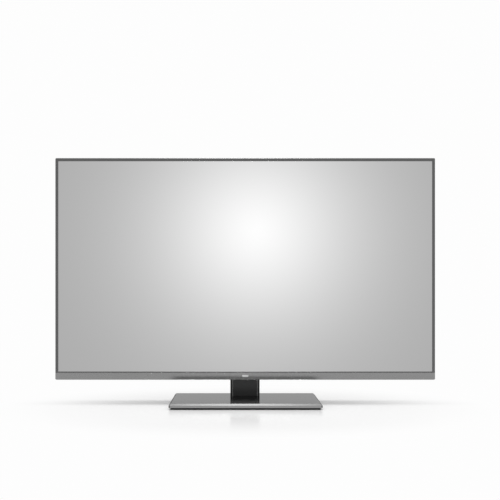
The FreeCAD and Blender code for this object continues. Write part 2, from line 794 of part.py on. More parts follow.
def flat_cables():
    """The flat cables from the timing board down to the two source boards."""
    y = SOURCE_REAR_Y
    low = SOURCE_BOARD_LOW + SOURCE_BOARD_H / 2
    rear = board_areas()["tcon"][2]
    cables = []
    for side in (-1, 1):
        centre = side * (BRACKET_W / 2 - BRACKET_T - FLAT_CABLE_INSET - FLAT_CABLE_W / 2)
        x = (centre - FLAT_CABLE_W / 2, centre + FLAT_CABLE_W / 2)
        corners = [
            (y, low, 0),
            (y + FLAT_CABLE_T, low, 0),
            (y + FLAT_CABLE_T, TCON_LOW - LOW_STANDOFF, 0),
            (rear + FLAT_CABLE_T, TCON_LOW, 0),
            (rear + FLAT_CABLE_T, TCON_LOW + LOW_STANDOFF, 0),
            (rear, TCON_LOW + LOW_STANDOFF, 0),
            (rear, TCON_LOW, 0),
            (y, TCON_LOW - LOW_STANDOFF, 0),
        ]
        cables.append(prism("x", corners, x[0], x[1]))
    return group(cables)


def board(name):
    """A circuit board with holes for its screws."""
    x, z, rear = board_areas()[name]
    plate = block(x, (rear - BOARD_T, rear), z)
    spots = [(a, b) for a, b, depth in standoff_places() if depth == rear]
    spots = [(a, b) for a, b in spots if x[0] < a < x[1] and z[0] < b < z[1]]
    return plate.cut(rods("y", SCREW_R + SCREW_FIT, (rear - BOARD_T - OVERCUT, rear + OVERCUT), spots))


def on_board(name, x, z, width, height, rise):
    """A block standing on a board, placed by shares of the board's width and height."""
    area_x, area_z, rear = board_areas()[name]
    a = area_x[0] + (area_x[1] - area_x[0]) * x
    b = area_z[0] + (area_z[1] - area_z[0]) * z
    return block((a - width / 2, a + width / 2), (rear, rear + rise), (b - height / 2, b + height / 2))


def main_components():
    """The processor's finned heat sink, the tuner's can, two memory chips and the sound chokes."""
    cooler = on_board("main", 0.52, 0.6, COOLER_W, COOLER_W, COOLER_T)
    limits = cooler.BoundBox
    y = (limits.YMin, limits.YMax + COOLER_FIN_H)
    fins = []
    for i in range(COOLER_FIN_COUNT):
        x = limits.XMin + (COOLER_W - COOLER_FIN_T) * i / (COOLER_FIN_COUNT - 1)
        fins.append(block((x, x + COOLER_FIN_T), y, (limits.ZMin, limits.ZMax)))
    parts = [
        cooler.fuse(fins).removeSplitter(),
        on_board("main", 0.78, 0.26, TUNER_W, TUNER_H, TUNER_T),
    ]
    for height in (0.52, 0.68):
        parts.append(on_board("main", 0.86, height, CHIP_W, CHIP_H, CHIP_T))
    for share in (0.4, 0.6):
        parts.append(on_board("main", share, 0.88, SOUND_CHOKE_W, SOUND_CHOKE_W, SOUND_CHOKE_T))
    return group(parts)


def power_components():
    """The transformers, the reservoir capacitors, the mains choke and the rectifier's heat sink."""
    x, z, rear = board_areas()["power"]
    height = (z[0] + z[1]) / 2
    spots = [(x[0] + (x[1] - x[0]) * share, height) for share in (0.42, 0.58)]
    cans = rods("y", CAPACITOR_R, (rear, rear + CAPACITOR_H), spots)
    core = on_board("power", 0.22, 0.55, CORE_BLOCK_W, CORE_BLOCK_H, CORE_BLOCK_T)
    bobbin = on_board("power", 0.22, 0.55, BOBBIN_W, BOBBIN_H, BOBBIN_T)
    parts = [
        core.fuse(bobbin).removeSplitter(),
        on_board("power", 0.24, 0.2, MAINS_CHOKE_W, COIL_H, MAINS_CHOKE_T),
        on_board("power", 0.5, 0.24, COIL_W, COIL_H, COIL_T),
        on_board("power", 0.56, 0.86, RECTIFIER_FIN_W, RECTIFIER_FIN_T, RECTIFIER_FIN_H),
    ]
    return group(cans + parts)


def wifi_module():
    """The radio board with its shielding can."""
    can = on_board("wifi", 0.5, 0.4, RADIO_CAN_W, RADIO_CAN_H, RADIO_CAN_T)
    return board("wifi").fuse(can).removeSplitter()


def tcon_board():
    """The timing board in the middle, with its controller chip."""
    chip = on_board("tcon", 0.5, 0.6, TIMING_CHIP_W, TIMING_CHIP_W, TIMING_CHIP_T)
    return board("tcon").fuse(chip).removeSplitter()


def board_screws():
    """The screws of all the boards."""
    screws = []
    for x, z, rear in standoff_places():
        length = rear - CHASSIS_Y - BACK_PLATE_T
        screws.append(screw("y", (x, z), rear, length, SCREW_R, SCREW_HEAD_R))
    return group(screws)


SOCKET_OUTLINES = {
    "hdmi": [
        (-7.5, 6.0, 0),
        (-7.5, 2.4, 0),
        (-5.8, 0.2, 0),
        (5.8, 0.2, 0),
        (7.5, 2.4, 0),
        (7.5, 6.0, 0),
    ],
    "usb": rectangle((-7.2, 7.2), (0.2, 7.0)),
    "lan": rectangle((-8.0, 8.0), (0.2, 13.6)),
    "optical": rectangle((-5.2, 5.2), (0.2, 10.2)),
    "jack": rectangle((-4.5, 4.5), (0.2, 9.0)),
    "aerial": rectangle((-6.0, 6.0), (0.2, 12.4)),
    "inlet": rectangle((-12.0, 12.0), (0.2, 15.0), 3.0, 3.0),
}
SOCKET_LENGTHS = {
    "hdmi": 12.0,
    "usb": 14.0,
    "lan": 16.0,
    "optical": 12.0,
    "jack": 13.0,
    "aerial": 14.0,
    "inlet": 20.0,
}


def socket(kind):
    """A socket in its own frame: its mouth at level 0, going in along Z, standing on the board at y 0."""
    body = prism("z", SOCKET_OUTLINES[kind], 0, SOCKET_LENGTHS[kind])
    if kind == "hdmi":
        hole = prism("z", inset(SOCKET_OUTLINES[kind], 0.5), -OVERCUT, 11.0)
        return body.cut(hole).fuse(block((-5.6, 5.6), (2.6, 3.8), (1.0, 11.5))).removeSplitter()
    if kind == "usb":
        hole = prism("z", inset(SOCKET_OUTLINES[kind], 0.6), -OVERCUT, 13.0)
        return body.cut(hole).fuse(block((-5.6, 5.6), (1.9, 3.7), (1.0, 13.5))).removeSplitter()
    if kind == "lan":
        hole = block((-5.9, 5.9), (3.4, 11.8), (-OVERCUT, 13.0))
        latch = block((-3.0, 3.0), (1.6, 3.5), (-OVERCUT, 13.0))
        return body.cut([hole, latch])
    if kind == "optical":
        return body.cut(block((-3.6, 3.6), (1.8, 8.4), (-OVERCUT, 7.0)))
    if kind == "jack":
        return body.cut(rod("z", 1.8, (-OVERCUT, 12.0), (0, 4.6)))
    if kind == "aerial":
        post = rod("z", 4.75, (-10.0, OVERCUT), (0, 6.3)).cut(rod("z", 2.4, (-11.0, -1.0), (0, 6.3)))
        return body.fuse(post).removeSplitter()
    hole = prism("z", pill(0, 7.6, 16.8, 9.0), -OVERCUT, 12.0)
    pins = [rod("z", 1.2, (2.0, 12.5), (side * 4.3, 7.6)) for side in (-1, 1)]
    return body.cut(hole).fuse(pins).removeSplitter()


def placed_sockets():
    """Every socket as (kind, turn about the depth, place of its mouth)."""
    result = []
    for i, kind in enumerate(SIDE_SOCKETS):
        spot = vec(SIDE_PANEL_X + GAP, BOARD_Y, SIDE_LOW + SOCKET_END + i * SOCKET_PITCH)
        result.append((kind, 90, spot))
    for i, kind in enumerate(LOWER_SOCKETS):
        spot = vec(LOWER_X0 + SOCKET_END + i * SOCKET_PITCH, BOARD_Y, LOWER_PANEL_Z + GAP)
        result.append((kind, 0, spot))
    result.append(("inlet", 0, vec(INLET_X, BOARD_Y, LOWER_PANEL_Z + GAP)))
    return result


def put(shape, turn, spot):
    """Moves a shape from a socket's own frame into the set."""
    return shape.rotated(vec(0, 0, 0), vec(0, 1, 0), turn).translated(spot)


def sockets(kind):
    """All the sockets of one kind."""
    found = [put(socket(kind), turn, spot) for name, turn, spot in placed_sockets() if name == kind]
    return found[0] if len(found) == 1 else group(found)


def socket_cutouts():
    """The holes in the recesses' walls that the sockets look through."""
    cuts = []
    for kind, turn, spot in placed_sockets():
        grown = inset(SOCKET_OUTLINES[kind], -SOCKET_GAP)
        cuts.append(put(prism("z", grown, -GAP - OVERCUT, COVER_WALL + GAP), turn, spot))
    return cuts


def cover_form(amount):
    """The rear cover's outer form, or with its wall as the amount, the space inside it."""
    side = rectangle((SEAM_Y, PAN_Y), (SET_BOTTOM, SET_TOP))
    side[1] = (PAN_Y, SET_BOTTOM, PAN_EDGE_R)
    side[2] = (PAN_Y, SET_TOP, PAN_EDGE_R)
    plan = rectangle((-HALF_W, HALF_W), (SEAM_Y, PAN_Y), 0, PAN_EDGE_R)
    pan = meet(
        prism("x", inset(side, amount, 3), -HALF_W, HALF_W),
        prism("z", inset(plan, amount, 0), SET_BOTTOM, SET_TOP),
        prism("y", inset(frame_outline(), amount), SEAM_Y - OVERCUT, PAN_Y),
    )
    bulge_side = [
        (SEAM_Y, BULGE_LOW, 0),
        (BULGE_Y, BULGE_LOW, BULGE_FOOT_R),
        (BULGE_Y, BULGE_HIGH - BULGE_TOP_SLOPE, BULGE_EDGE_R),
        (PAN_Y, BULGE_HIGH, 0),
        (SEAM_Y, BULGE_HIGH, 0),
    ]
    half = BULGE_HALF
    bulge_plan = [
        (-half, SEAM_Y, 0),
        (half, SEAM_Y, 0),
        (half, PAN_Y, 0),
        (half - BULGE_END_SLOPE, BULGE_Y, BULGE_EDGE_R),
        (BULGE_END_SLOPE - half, BULGE_Y, BULGE_EDGE_R),
        (-half, PAN_Y, 0),
    ]
    bulge = meet(
        prism("x", inset(bulge_side, amount, 4), -half, half),
        prism("z", inset(bulge_plan, amount, 0), BULGE_LOW, BULGE_HIGH),
    )
    return pan.fuse(bulge).cut(recesses(amount) + wells(amount)).removeSplitter()


def recesses(amount):
    """The recesses for the sockets and the stand's neck, grown by the amount on their closed sides."""
    half = BULGE_HALF
    rear = BULGE_Y + OVERCUT
    floor = PAN_Y - amount
    under = BULGE_LOW - OVERCUT
    side = block(
        (-half - OVERCUT, SIDE_PANEL_X + amount),
        (floor, rear),
        (SIDE_LOW - amount, SIDE_HIGH + amount),
    )
    z = (under, LOWER_PANEL_Z + amount)
    lower = block((LOWER_X0 - amount, LOWER_X1 + amount), (floor, rear), z)
    reach = POWER_RECESS_W / 2 + amount
    power = block((INLET_X - reach, INLET_X + reach), (floor, rear), z)
    reach = NECK_W / 2 + POCKET_GAP + amount
    z = (under, NECK_TOP + POCKET_GAP + amount)
    pocket = block((-reach, reach), (POCKET_Y - amount, rear), z)
    return [side, lower, power, pocket]


def wells(amount):
    """The wells that the cover's screws sit in, grown by the amount."""
    return rods("y", WELL_R + amount, (WELL_Y - amount, PAN_Y + OVERCUT), well_places())


def vent_slots():
    """Upright slots behind the boards and along the top of the pan, and the speakers' slots underneath."""
    rear_y = (BULGE_Y - 2 * COVER_WALL, BULGE_Y + OVERCUT)
    rear_high = BULGE_HIGH - BULGE_TOP_SLOPE - BULGE_EDGE_R / 2
    rear_z = (rear_high - VENT_SLOT_H, rear_high)
    slots = []
    for name in ("main", "power"):
        slots += slot_row(sum(board_areas()[name][0]) / 2, VENT_COUNT, VENT_PITCH, rear_y, rear_z)
    pan_y = (PAN_Y - 2 * COVER_WALL, PAN_Y + OVERCUT)
    top_z = (SET_TOP - TOP_VENT_DROP - TOP_VENT_H, SET_TOP - TOP_VENT_DROP)
    slots += slot_row(0, TOP_VENT_COUNT, VENT_PITCH, pan_y, top_z)
    under_y = (DRIVER_Y - SPEAKER_SLOT_D / 2, DRIVER_Y + SPEAKER_SLOT_D / 2)
    under_z = (BULGE_LOW - OVERCUT, BULGE_LOW + COVER_WALL + OVERCUT)
    for x in (-SPEAKER_X, SPEAKER_X):
        slots += slot_row(x, SPEAKER_SLOT_COUNT, SPEAKER_PITCH, under_y, under_z)
    return slots


def slot_row(centre, count, pitch, y, z):
    """A row of equal slots side by side, centred on a point across the set."""
    starts = [centre + (i - (count - 1) / 2) * pitch - VENT_SLOT_W / 2 for i in range(count)]
    return [block((x, x + VENT_SLOT_W), y, z) for x in starts]


def vesa_places():
    return [(x, z) for x in (-VESA / 2, VESA / 2) for z in (VESA_Z - VESA / 2, VESA_Z + VESA / 2)]


def joystick_hole_r():
    """The hole that lets the knob lean both ways at once."""
    lean = math.radians(JOYSTICK_TILT) * math.sqrt(2)
    return KNOB_R + (KNOB_Y - PIVOT_Y) * math.sin(lean) + 2 * GAP


def back_cover():
    """The moulded rear cover, with its vents, screw wells, recesses and the wall mount's holes."""
    shell = cover_form(0).cut(cover_form(COVER_WALL))
    cuts = socket_cutouts() + vent_slots()
    rear = (BULGE_Y - 2 * COVER_WALL, BULGE_Y + OVERCUT)
    pocket = (BRACKET_Y - OVERCUT, POCKET_Y + OVERCUT)
    cuts += rods("y", SCREW_R + GAP, (CHASSIS_Y, WELL_Y + OVERCUT), well_places())
    cuts += rods("y", VESA_BOSS_R + VESA_RING, rear, vesa_places())
    cuts += rods("y", LARGE_SCREW_R + GAP, pocket, stand_screw_places())
    place = (JOYSTICK_X, JOYSTICK_Z)
    dish = Part.makeCone(
        DISH_R - 3 * DISH_DEPTH,
        DISH_R + 2 * OVERCUT,
        DISH_DEPTH + OVERCUT,
        vec(place[0], PAN_Y - DISH_DEPTH, place[1]),
        vec(0, 1, 0),
    )
    cuts += [dish, rod("y", joystick_hole_r(), (SEAM_Y, PAN_Y + OVERCUT), place)]
    return shell.cut(cuts).removeSplitter()


def cover_screws():
    """The screws at the bottom of the cover's wells."""
    length = WELL_Y - BACK_PLATE_Y - SCREW_FIT
    return group([screw("y", spot, WELL_Y, length, SCREW_R, SCREW_HEAD_R) for spot in well_places()])


def vesa_bosses():
    """The four threaded posts of the wall mount, riveted to the back plate."""
    thread = (VESA_FACE_Y - VESA_HOLE_DEPTH, VESA_FACE_Y + OVERCUT)
    posts = []
    for spot in vesa_places():
        post = rod("y", VESA_BOSS_R, (CHASSIS_Y, VESA_FACE_Y), spot)
        posts.append(post.cut(rod("y", VESA_HOLE_R, thread, spot)))
    return group(posts)


def speaker_boxes():
    """The two speaker enclosures, open at the bottom round their drivers."""
    boxes = []
    y = (SOURCE_REAR_Y + FILM_STRIP_T + GAP, BULGE_Y - COVER_WALL - GAP)
    z = (SPEAKER_LOW, SPEAKER_LOW + SPEAKER_H)
    edge_r = BULGE_FOOT_R - COVER_WALL + GAP
    corners = rectangle(y, z)
    corners[1] = (y[1], z[0], edge_r)
    corners[2] = (y[1], z[1], edge_r)
    for centre in (-SPEAKER_X, SPEAKER_X):
        x = (centre - SPEAKER_W / 2, centre + SPEAKER_W / 2)
        outer = prism("x", corners, x[0], x[1])
        inner = prism("x", inset(corners, SPEAKER_WALL), x[0] + SPEAKER_WALL, x[1] - SPEAKER_WALL)
        oval = pill(centre, DRIVER_Y, DRIVER_W, DRIVER_D)
        mouth = prism("z", oval, z[0] - OVERCUT, z[0] + SPEAKER_WALL + OVERCUT)
        boxes.append(outer.cut([inner, mouth]))
    return group(boxes)


def speaker_drivers():
    """The two oval drivers: a frame in the enclosure's mouth, a sunk cone and the magnet above it."""
    low = SPEAKER_LOW
    deep = low + CONE_DEPTH
    drivers = []
    for x in (-SPEAKER_X, SPEAKER_X):
        oval = pill(x, DRIVER_Y, DRIVER_W, DRIVER_D)
        rim = wire(inset(oval, DRIVER_RIM), lambda p: vec(p.x, p.y, low))
        narrow = pill(x, DRIVER_Y, DRIVER_W / 2, DRIVER_D / 4)
        bottom = wire(narrow, lambda p: vec(p.x, p.y, deep))
        cone = Part.makeLoft([rim, bottom], True, True)
        frame = prism("z", inset(oval, GAP), low, low + DRIVER_FRAME_T)
        magnet = rod("z", MAGNET_R, (deep, deep + MAGNET_H), (x, DRIVER_Y))
        drivers.append(frame.cut(cone).fuse(magnet).removeSplitter())
    return group(drivers)


def joystick_board():
    """The joystick's board with the switch housing on it, whose walls carry the ring's trunnions."""
    half = JOYSTICK_SWITCH / 2
    place = (JOYSTICK_X, JOYSTICK_Z)
    depth = PIVOT_Y + RING_T / 2 + GAP
    x = (place[0] - half, place[0] + half)
    housing = block(x, (SWITCH_Y, depth), (place[1] - half, place[1] + half))
    cavity = rod("y", JOYSTICK_CAVITY_R, (SWITCH_Y + OVERCUT, depth + OVERCUT), place)
    seats = (x[0] + TRUNNION_WALL, x[1] - TRUNNION_WALL)
    bores = rod("x", TRUNNION_R + TRUNNION_GAP, seats, (PIVOT_Y, place[1]))
    return board("joystick").fuse(housing).cut([cavity, bores]).removeSplitter()


def joystick_ring():
    """The ring that rocks up and down on two trunnions in the switch housing."""
    place = (JOYSTICK_X, JOYSTICK_Z)
    y = (PIVOT_Y - RING_T / 2, PIVOT_Y + RING_T / 2)
    body = rod("y", RING_R, y, place)
    reach = JOYSTICK_SWITCH / 2 - TRUNNION_WALL - GAP
    pins = rod("x", TRUNNION_R, (place[0] - reach, place[0] + reach), (PIVOT_Y, place[1]))
    hole = rod("y", RING_BORE_R, (y[0] - OVERCUT, y[1] + OVERCUT), place)
    z = (place[1] - RING_R - OVERCUT, place[1] + RING_R + OVERCUT)
    bores = rod("z", TRUNNION_R + TRUNNION_GAP, z, (place[0], PIVOT_Y))
    return body.fuse(pins).cut([hole, bores]).removeSplitter()


def stem_top():
    """The end of the stem, below the floor of the knob's bore by the knob's travel and a clearance."""
    return KNOB_Y - KNOB_CAP_T - JOYSTICK_TRAVEL - GAP


def joystick_stem():
    """The stem, which rocks from side to side in the ring."""
    place = (JOYSTICK_X, JOYSTICK_Z)
    body = rod("y", STEM_R, (PIVOT_Y - RING_T, stem_top()), place)
    reach = RING_R - GAP
    pins = rod("z", TRUNNION_R, (place[1] - reach, place[1] + reach), (place[0], PIVOT_Y))
    return body.fuse(pins).removeSplitter()


def joystick_knob():
    """The knob, dished for a fingertip, that slides on the stem when it is pressed."""
    place = (JOYSTICK_X, JOYSTICK_Z)
    swing = KNOB_R * math.sin(math.radians(JOYSTICK_TILT) * 1.5)
    low = PIVOT_Y + RING_T / 2 + JOYSTICK_TRAVEL + swing + 2 * GAP
    body = rod("y", KNOB_R, (low, KNOB_Y), place)
    rim = [edge for edge in body.Edges if edge.BoundBox.YMin > KNOB_Y - GAP]
    body = body.makeFillet(KNOB_EDGE_R, rim)
    dish_r = 4 * KNOB_R
    dish = Part.makeSphere(dish_r, vec(place[0], KNOB_Y + dish_r - KNOB_DISH, place[1]))
    bore = rod("y", STEM_R + STEM_FIT, (low - OVERCUT, stem_top() + JOYSTICK_TRAVEL + GAP), place)
    return body.cut([dish, bore])


def stand_screw_places():
    """The four screws that hold the neck to the set, as (x, z)."""
    high = NECK_TOP - STAND_SCREW_DROP
    return [(x, z) for x in (-STAND_SCREW_X, STAND_SCREW_X) for z in (high - STAND_SCREW_PITCH, high)]


def bracket_screw_places():
    reach = BRACKET_W / 2 + BRACKET_FLANGE / 2
    low, high = bracket_limits()
    return [(x, z) for x in (-reach, reach) for z in (low + BRACKET_FLANGE, high - BRACKET_FLANGE)]


def bracket_limits():
    """The stand bracket's lower and upper edge."""
    return HEAT_SINK_LOW + HEAT_SINK_H + GAP, NECK_TOP + POCKET_GAP + COVER_WALL


def stand_bracket():
    """The steel hat section on the back plate that carries the set on its neck."""
    low, high = bracket_limits()
    half = BRACKET_W / 2
    rear = BRACKET_Y - GAP / 2
    outer = block((-half, half), (CHASSIS_Y, rear), (low, high))
    within = half - BRACKET_T
    inner = block(
        (-within, within), (CHASSIS_Y - OVERCUT, rear - BRACKET_T), (low - OVERCUT, high + OVERCUT)
    )
    body = outer.cut(inner)
    reach = half + BRACKET_FLANGE
    foot = (CHASSIS_Y, CHASSIS_Y + BRACKET_T)
    flanges = [block(x, foot, (low, high)) for x in ((-reach, -half), (half, reach))]
    nut_y = rear - BRACKET_T - NUT_H
    nuts = rods("y", NUT_R, (nut_y, rear - BRACKET_T / 2), stand_screw_places())
    bore_y = (nut_y - OVERCUT, rear + OVERCUT)
    bores = rods("y", LARGE_SCREW_R + SCREW_FIT, bore_y, stand_screw_places())
    hole_y = (foot[0] - OVERCUT, foot[1] + OVERCUT)
    holes = rods("y", SCREW_R + SCREW_FIT, hole_y, bracket_screw_places())
    return body.fuse(flanges + nuts).cut(bores + holes).removeSplitter()


def bracket_screws():
    """The screws that hold the bracket to the back plate."""
    seat = CHASSIS_Y + BRACKET_T
    length = BRACKET_T + BACK_PLATE_T
    spots = bracket_screw_places()
    return group([screw("y", spot, seat, length, SCREW_R, SCREW_HEAD_R) for spot in spots])


def neck_side(amount):
    """The neck's side outline, moved inwards by the amount, as (y, z) corners."""
    corners = [
        (NECK_Y, NECK_LOW, 0),
        (NECK_Y + NECK_D, NECK_LOW, 0),
        (NECK_Y + NECK_D, NECK_LOW + NECK_UPRIGHT, 2 * NECK_EDGE_R),
        (NECK_Y + NECK_TOP_D, NECK_TOP, NECK_EDGE_R),
        (NECK_Y, NECK_TOP, 0),
    ]
    return inset(corners, amount, 0)


def neck_form(amount):
    """The neck as a solid, or with the wall as the amount, the space inside it."""
    half = NECK_W / 2
    plan = rectangle((-half, half), (NECK_Y, NECK_Y + NECK_D + OVERCUT), NECK_EDGE_R, 0)
    return meet(
        prism("x", neck_side(amount), -half + amount, half - amount),
        prism("z", inset(plan, amount), NECK_LOW - OVERCUT, NECK_TOP + OVERCUT),
    )


def neck_shell():
    """The black moulding round the neck's front and sides, open at its back and underneath."""
    half = NECK_W / 2
    within = half - NECK_WALL
    rear_hole = block(
        (-within, within),
        (NECK_Y + NECK_TOP_D / 2, NECK_Y + NECK_D + OVERCUT),
        (NECK_LOW - OVERCUT, NECK_TOP - NECK_WALL),
    )
    shell = neck_form(0).cut(neck_form(NECK_WALL)).cut(rear_hole)
    front = (NECK_Y - OVERCUT, NECK_Y + 2 * NECK_WALL)
    return shell.cut(rods("y", LARGE_SCREW_R + GAP, front, stand_screw_places())).removeSplitter()


def neck_rear_cover():
    """The panel that closes the neck's back between the moulding's sides."""
    half = NECK_W / 2 - NECK_WALL - GAP
    skin = neck_side(0)
    inner = neck_side(NECK_WALL)
    low, bend, high = skin[1], skin[2], skin[3]
    corners = [
        (low[0], low[1], 0),
        bend,
        (high[0], high[1], 0),
        (inner[3][0], inner[3][1], 0),
        inner[2],
        (inner[1][0], low[1], 0),
    ]
    below_top = block(
        (-half, half),
        (NECK_Y, NECK_Y + NECK_D + OVERCUT),
        (NECK_LOW - OVERCUT, NECK_TOP - NECK_WALL - GAP),
    )
    return prism("x", corners, -half, half).common(below_top)


def neck_core():
    """The steel column inside the neck, with a foot that is screwed to the swivel's hub."""
    skin = NECK_WALL + GAP
    half = NECK_W / 2 - skin
    outline = neck_side(skin)
    front, rear = outline[0][0], outline[1][0]
    bend, (top_rear, high) = outline[2][1], outline[3][:2]
    low = CORE_LOW
    outer = [(front, low, 0), (rear, low, 0), (rear, bend, 0), (top_rear, high, 0), (front, high, 0)]
    inner = [
        (front + CORE_T, low + CORE_T, 0),
        (rear + OVERCUT, low + CORE_T, 0),
        (rear + OVERCUT, bend, 0),
        (top_rear + OVERCUT, high + OVERCUT, 0),
        (front + CORE_T, high + OVERCUT, 0),
    ]
    body = prism("x", outer, -half, half)
    hollow = prism("x", inner, -half + CORE_T, half - CORE_T)
    radius = LARGE_SCREW_R + SCREW_FIT
    holes = rods("y", radius, (front - OVERCUT, front + 2 * CORE_T), stand_screw_places())
    holes += rods("z", radius, (low - OVERCUT, low + 2 * CORE_T), hub_screw_places())
    plan = rectangle((-half, half), (front, NECK_Y + NECK_D), max(NECK_EDGE_R - skin, OVERCUT), 0)
    return body.common(prism("z", plan, low, NECK_TOP)).cut([hollow] + holes).removeSplitter()


def stand_screws():
    """The four screws from inside the neck into the stand bracket."""
    seat = NECK_Y + NECK_WALL + GAP + CORE_T
    length = seat - BRACKET_Y + BRACKET_T + NUT_H
    spots = stand_screw_places()
    return group([screw("y", spot, seat, length, LARGE_SCREW_R, LARGE_SCREW_HEAD_R) for spot in spots])


def hub_screw_places():
    """Four screws through the core's foot into the hub, as (x, y)."""
    reach = (HUB_FLANGE_R - LARGE_SCREW_HEAD_R) / math.sqrt(2)
    return [(x, AXIS_Y + y) for x in (-reach, reach) for y in (-reach, reach)]


def retainer_screw_places():
    """Three screws through the retainer into the hub, as (x, y)."""
    reach = HUB_R / 2
    angles = [math.radians(90 + 120 * i) for i in range(3)]
    return [(reach * math.cos(a), AXIS_Y + reach * math.sin(a)) for a in angles]


def swivel_hub():
    """The steel hub that the neck turns on: a flange above the base and a journal down through it."""
    place = (0, AXIS_Y)
    journal = rod("z", HUB_R, (HUB_LOW, CORE_LOW), place)
    body = rod("z", HUB_FLANGE_R, (FLANGE_LOW, CORE_LOW), place).fuse(journal)
    upper = (FLANGE_LOW - OVERCUT, CORE_LOW + OVERCUT)
    lower = (HUB_LOW - OVERCUT, HUB_LOW + HUB_THREAD)
    holes = rods("z", LARGE_SCREW_R + SCREW_FIT, upper, hub_screw_places())
    holes += rods("z", SCREW_R + SCREW_FIT, lower, retainer_screw_places())
    return body.cut(holes).removeSplitter()


def swivel_retainer():
    """The plate under the base that keeps the hub in, with the pin that stops it at the ends of its arc."""
    low = HUB_LOW - RETAINER_T
    plate = rod("z", RETAINER_R, (low, HUB_LOW), (0, AXIS_Y))
    pin = rod("z", STOP_PIN_R, (low, WEIGHT_HIGH - GAP), (0, AXIS_Y - STOP_ARC_R))
    through = (low - OVERCUT, HUB_LOW + OVERCUT)
    holes = rods("z", SCREW_R + SCREW_FIT, through, retainer_screw_places())
    return plate.fuse(pin).cut(holes).removeSplitter()


def swivel_screws():
    """The screws of the hub's flange and of the retainer."""
    high, low = CORE_LOW + CORE_T, HUB_LOW - RETAINER_T
    long, short = CORE_T + HUB_FLANGE_T, RETAINER_T + HUB_THREAD - OVERCUT
    screws = [
        screw("z", spot, high, long, LARGE_SCREW_R, LARGE_SCREW_HEAD_R) for spot in hub_screw_places()
    ]
    clear = block((-HUB_R, HUB_R), (AXIS_Y - HUB_R, AXIS_Y + HUB_R), (low - OVERCUT, HUB_LOW + HUB_R))
    for spot in retainer_screw_places():
        screws.append(screw("z", spot, low, short, SCREW_R, SCREW_HEAD_R, -1).common(clear))
    return group(screws)


def swivel_washer():
    """The slippery ring between the hub's flange and the base."""
    return washer(HUB_R + BUSH_T + GAP, HUB_FLANGE_R, (BASE_TOP, FLANGE_LOW))


def washer(bore_r, outer_r, z):
    """A flat ring on the swivel's axis."""
    outer = rod("z", outer_r, z, (0, AXIS_Y))
    return outer.cut(rod("z", bore_r, (z[0] - OVERCUT, z[1] + OVERCUT), (0, AXIS_Y)))


def swivel_bush():
    """The sleeve in the base that the hub's journal turns in."""
    return washer(HUB_R + HUB_FIT, HUB_R + BUSH_T, (WEIGHT_LOW, BASE_TOP))


def friction_washer():
    """The sprung washer between the weight and the retainer, which holds the set where it is turned to."""
    return washer(HUB_R + GAP, HUB_R + BUSH_T + 2 * GAP, (HUB_LOW, WEIGHT_LOW))


def base_form(amount):
    """The base plate's outer form with its sloping edge, or with a wall as the amount, its hollow."""
    half_w, half_d = BASE_W / 2, BASE_D / 2
    front, side = sloping_section(half_w), sloping_section(half_d)
    plan = rectangle((-half_w, half_w), (-half_d, half_d), BASE_CORNER_R, BASE_CORNER_R)
    return meet(
        prism("x", inset(side, amount, 5), -half_w, half_w),
        prism("y", inset(front, amount, 5), -half_d, half_d),
        prism("z", inset(plan, amount), 0, BASE_TOP),
    )


def sloping_section(half):
    """The base plate's section across half its width or depth on each side, with both edges sloping."""
    edge = BASE_TOP - BASE_CHAMFER
    right = [(half, PLATE_LOW, 0), (half, edge, 0), (half - BASE_CHAMFER, BASE_TOP, 0)]
    left = [(-a, b, radius) for a, b, radius in reversed(right)]
    return right + left


def base_screw_places():
    """Six screws from below into the base plate's bosses, as (x, y)."""
    x = BASE_W / 2 - 2.5 * FOOT_INSET
    y = BASE_D / 2 - FOOT_INSET
    return [(a, b) for a in (-x, x) for b in (-y, 0, y)]


def foot_places():
    """Where the rubber feet sit, as (x, y)."""
    x = BASE_W / 2 - TRAY_INSET - FOOT_INSET
    y = BASE_D / 2 - TRAY_INSET - FOOT_INSET
    return [(a, b) for a in (-x, 0, x) for b in (-y, y)]


def base_plate():
    """The silver cover of the base, hollow underneath, with bosses for the tray's screws."""
    shell = base_form(0).cut(base_form(BASE_WALL))
    low = WEIGHT_LOW - OVERCUT
    bosses = rods("z", BASE_BOSS_R, (low, BASE_TOP - BASE_WALL / 2), base_screw_places())
    bores = rods("z", SCREW_R + SCREW_FIT, (low - OVERCUT, WEIGHT_HIGH), base_screw_places())
    hole = rod("z", HUB_R + BUSH_T + SCREW_FIT, (0, BASE_TOP + OVERCUT), (0, AXIS_Y))
    return shell.fuse(bosses).cut(bores + [hole]).removeSplitter()


def base_weight():
    """The steel plate inside the base, with the arc that the swivel's stop pin runs in."""
    margin = BASE_CHAMFER + BASE_WALL * (math.sqrt(2) - 1) + GAP
    half_w, half_d = BASE_W / 2 - margin, BASE_D / 2 - margin
    plan = rectangle((-half_w, half_w), (-half_d, half_d), BASE_CORNER_R, BASE_CORNER_R)
    body = prism("z", plan, WEIGHT_LOW, WEIGHT_HIGH)
    holes = rods("z", BASE_BOSS_R + GAP, (0, BASE_TOP), base_screw_places())
    holes.append(rod("z", HUB_R + BUSH_T + SCREW_FIT, (0, BASE_TOP), (0, AXIS_Y)))
    return body.cut(holes + [stop_arc()]).removeSplitter()


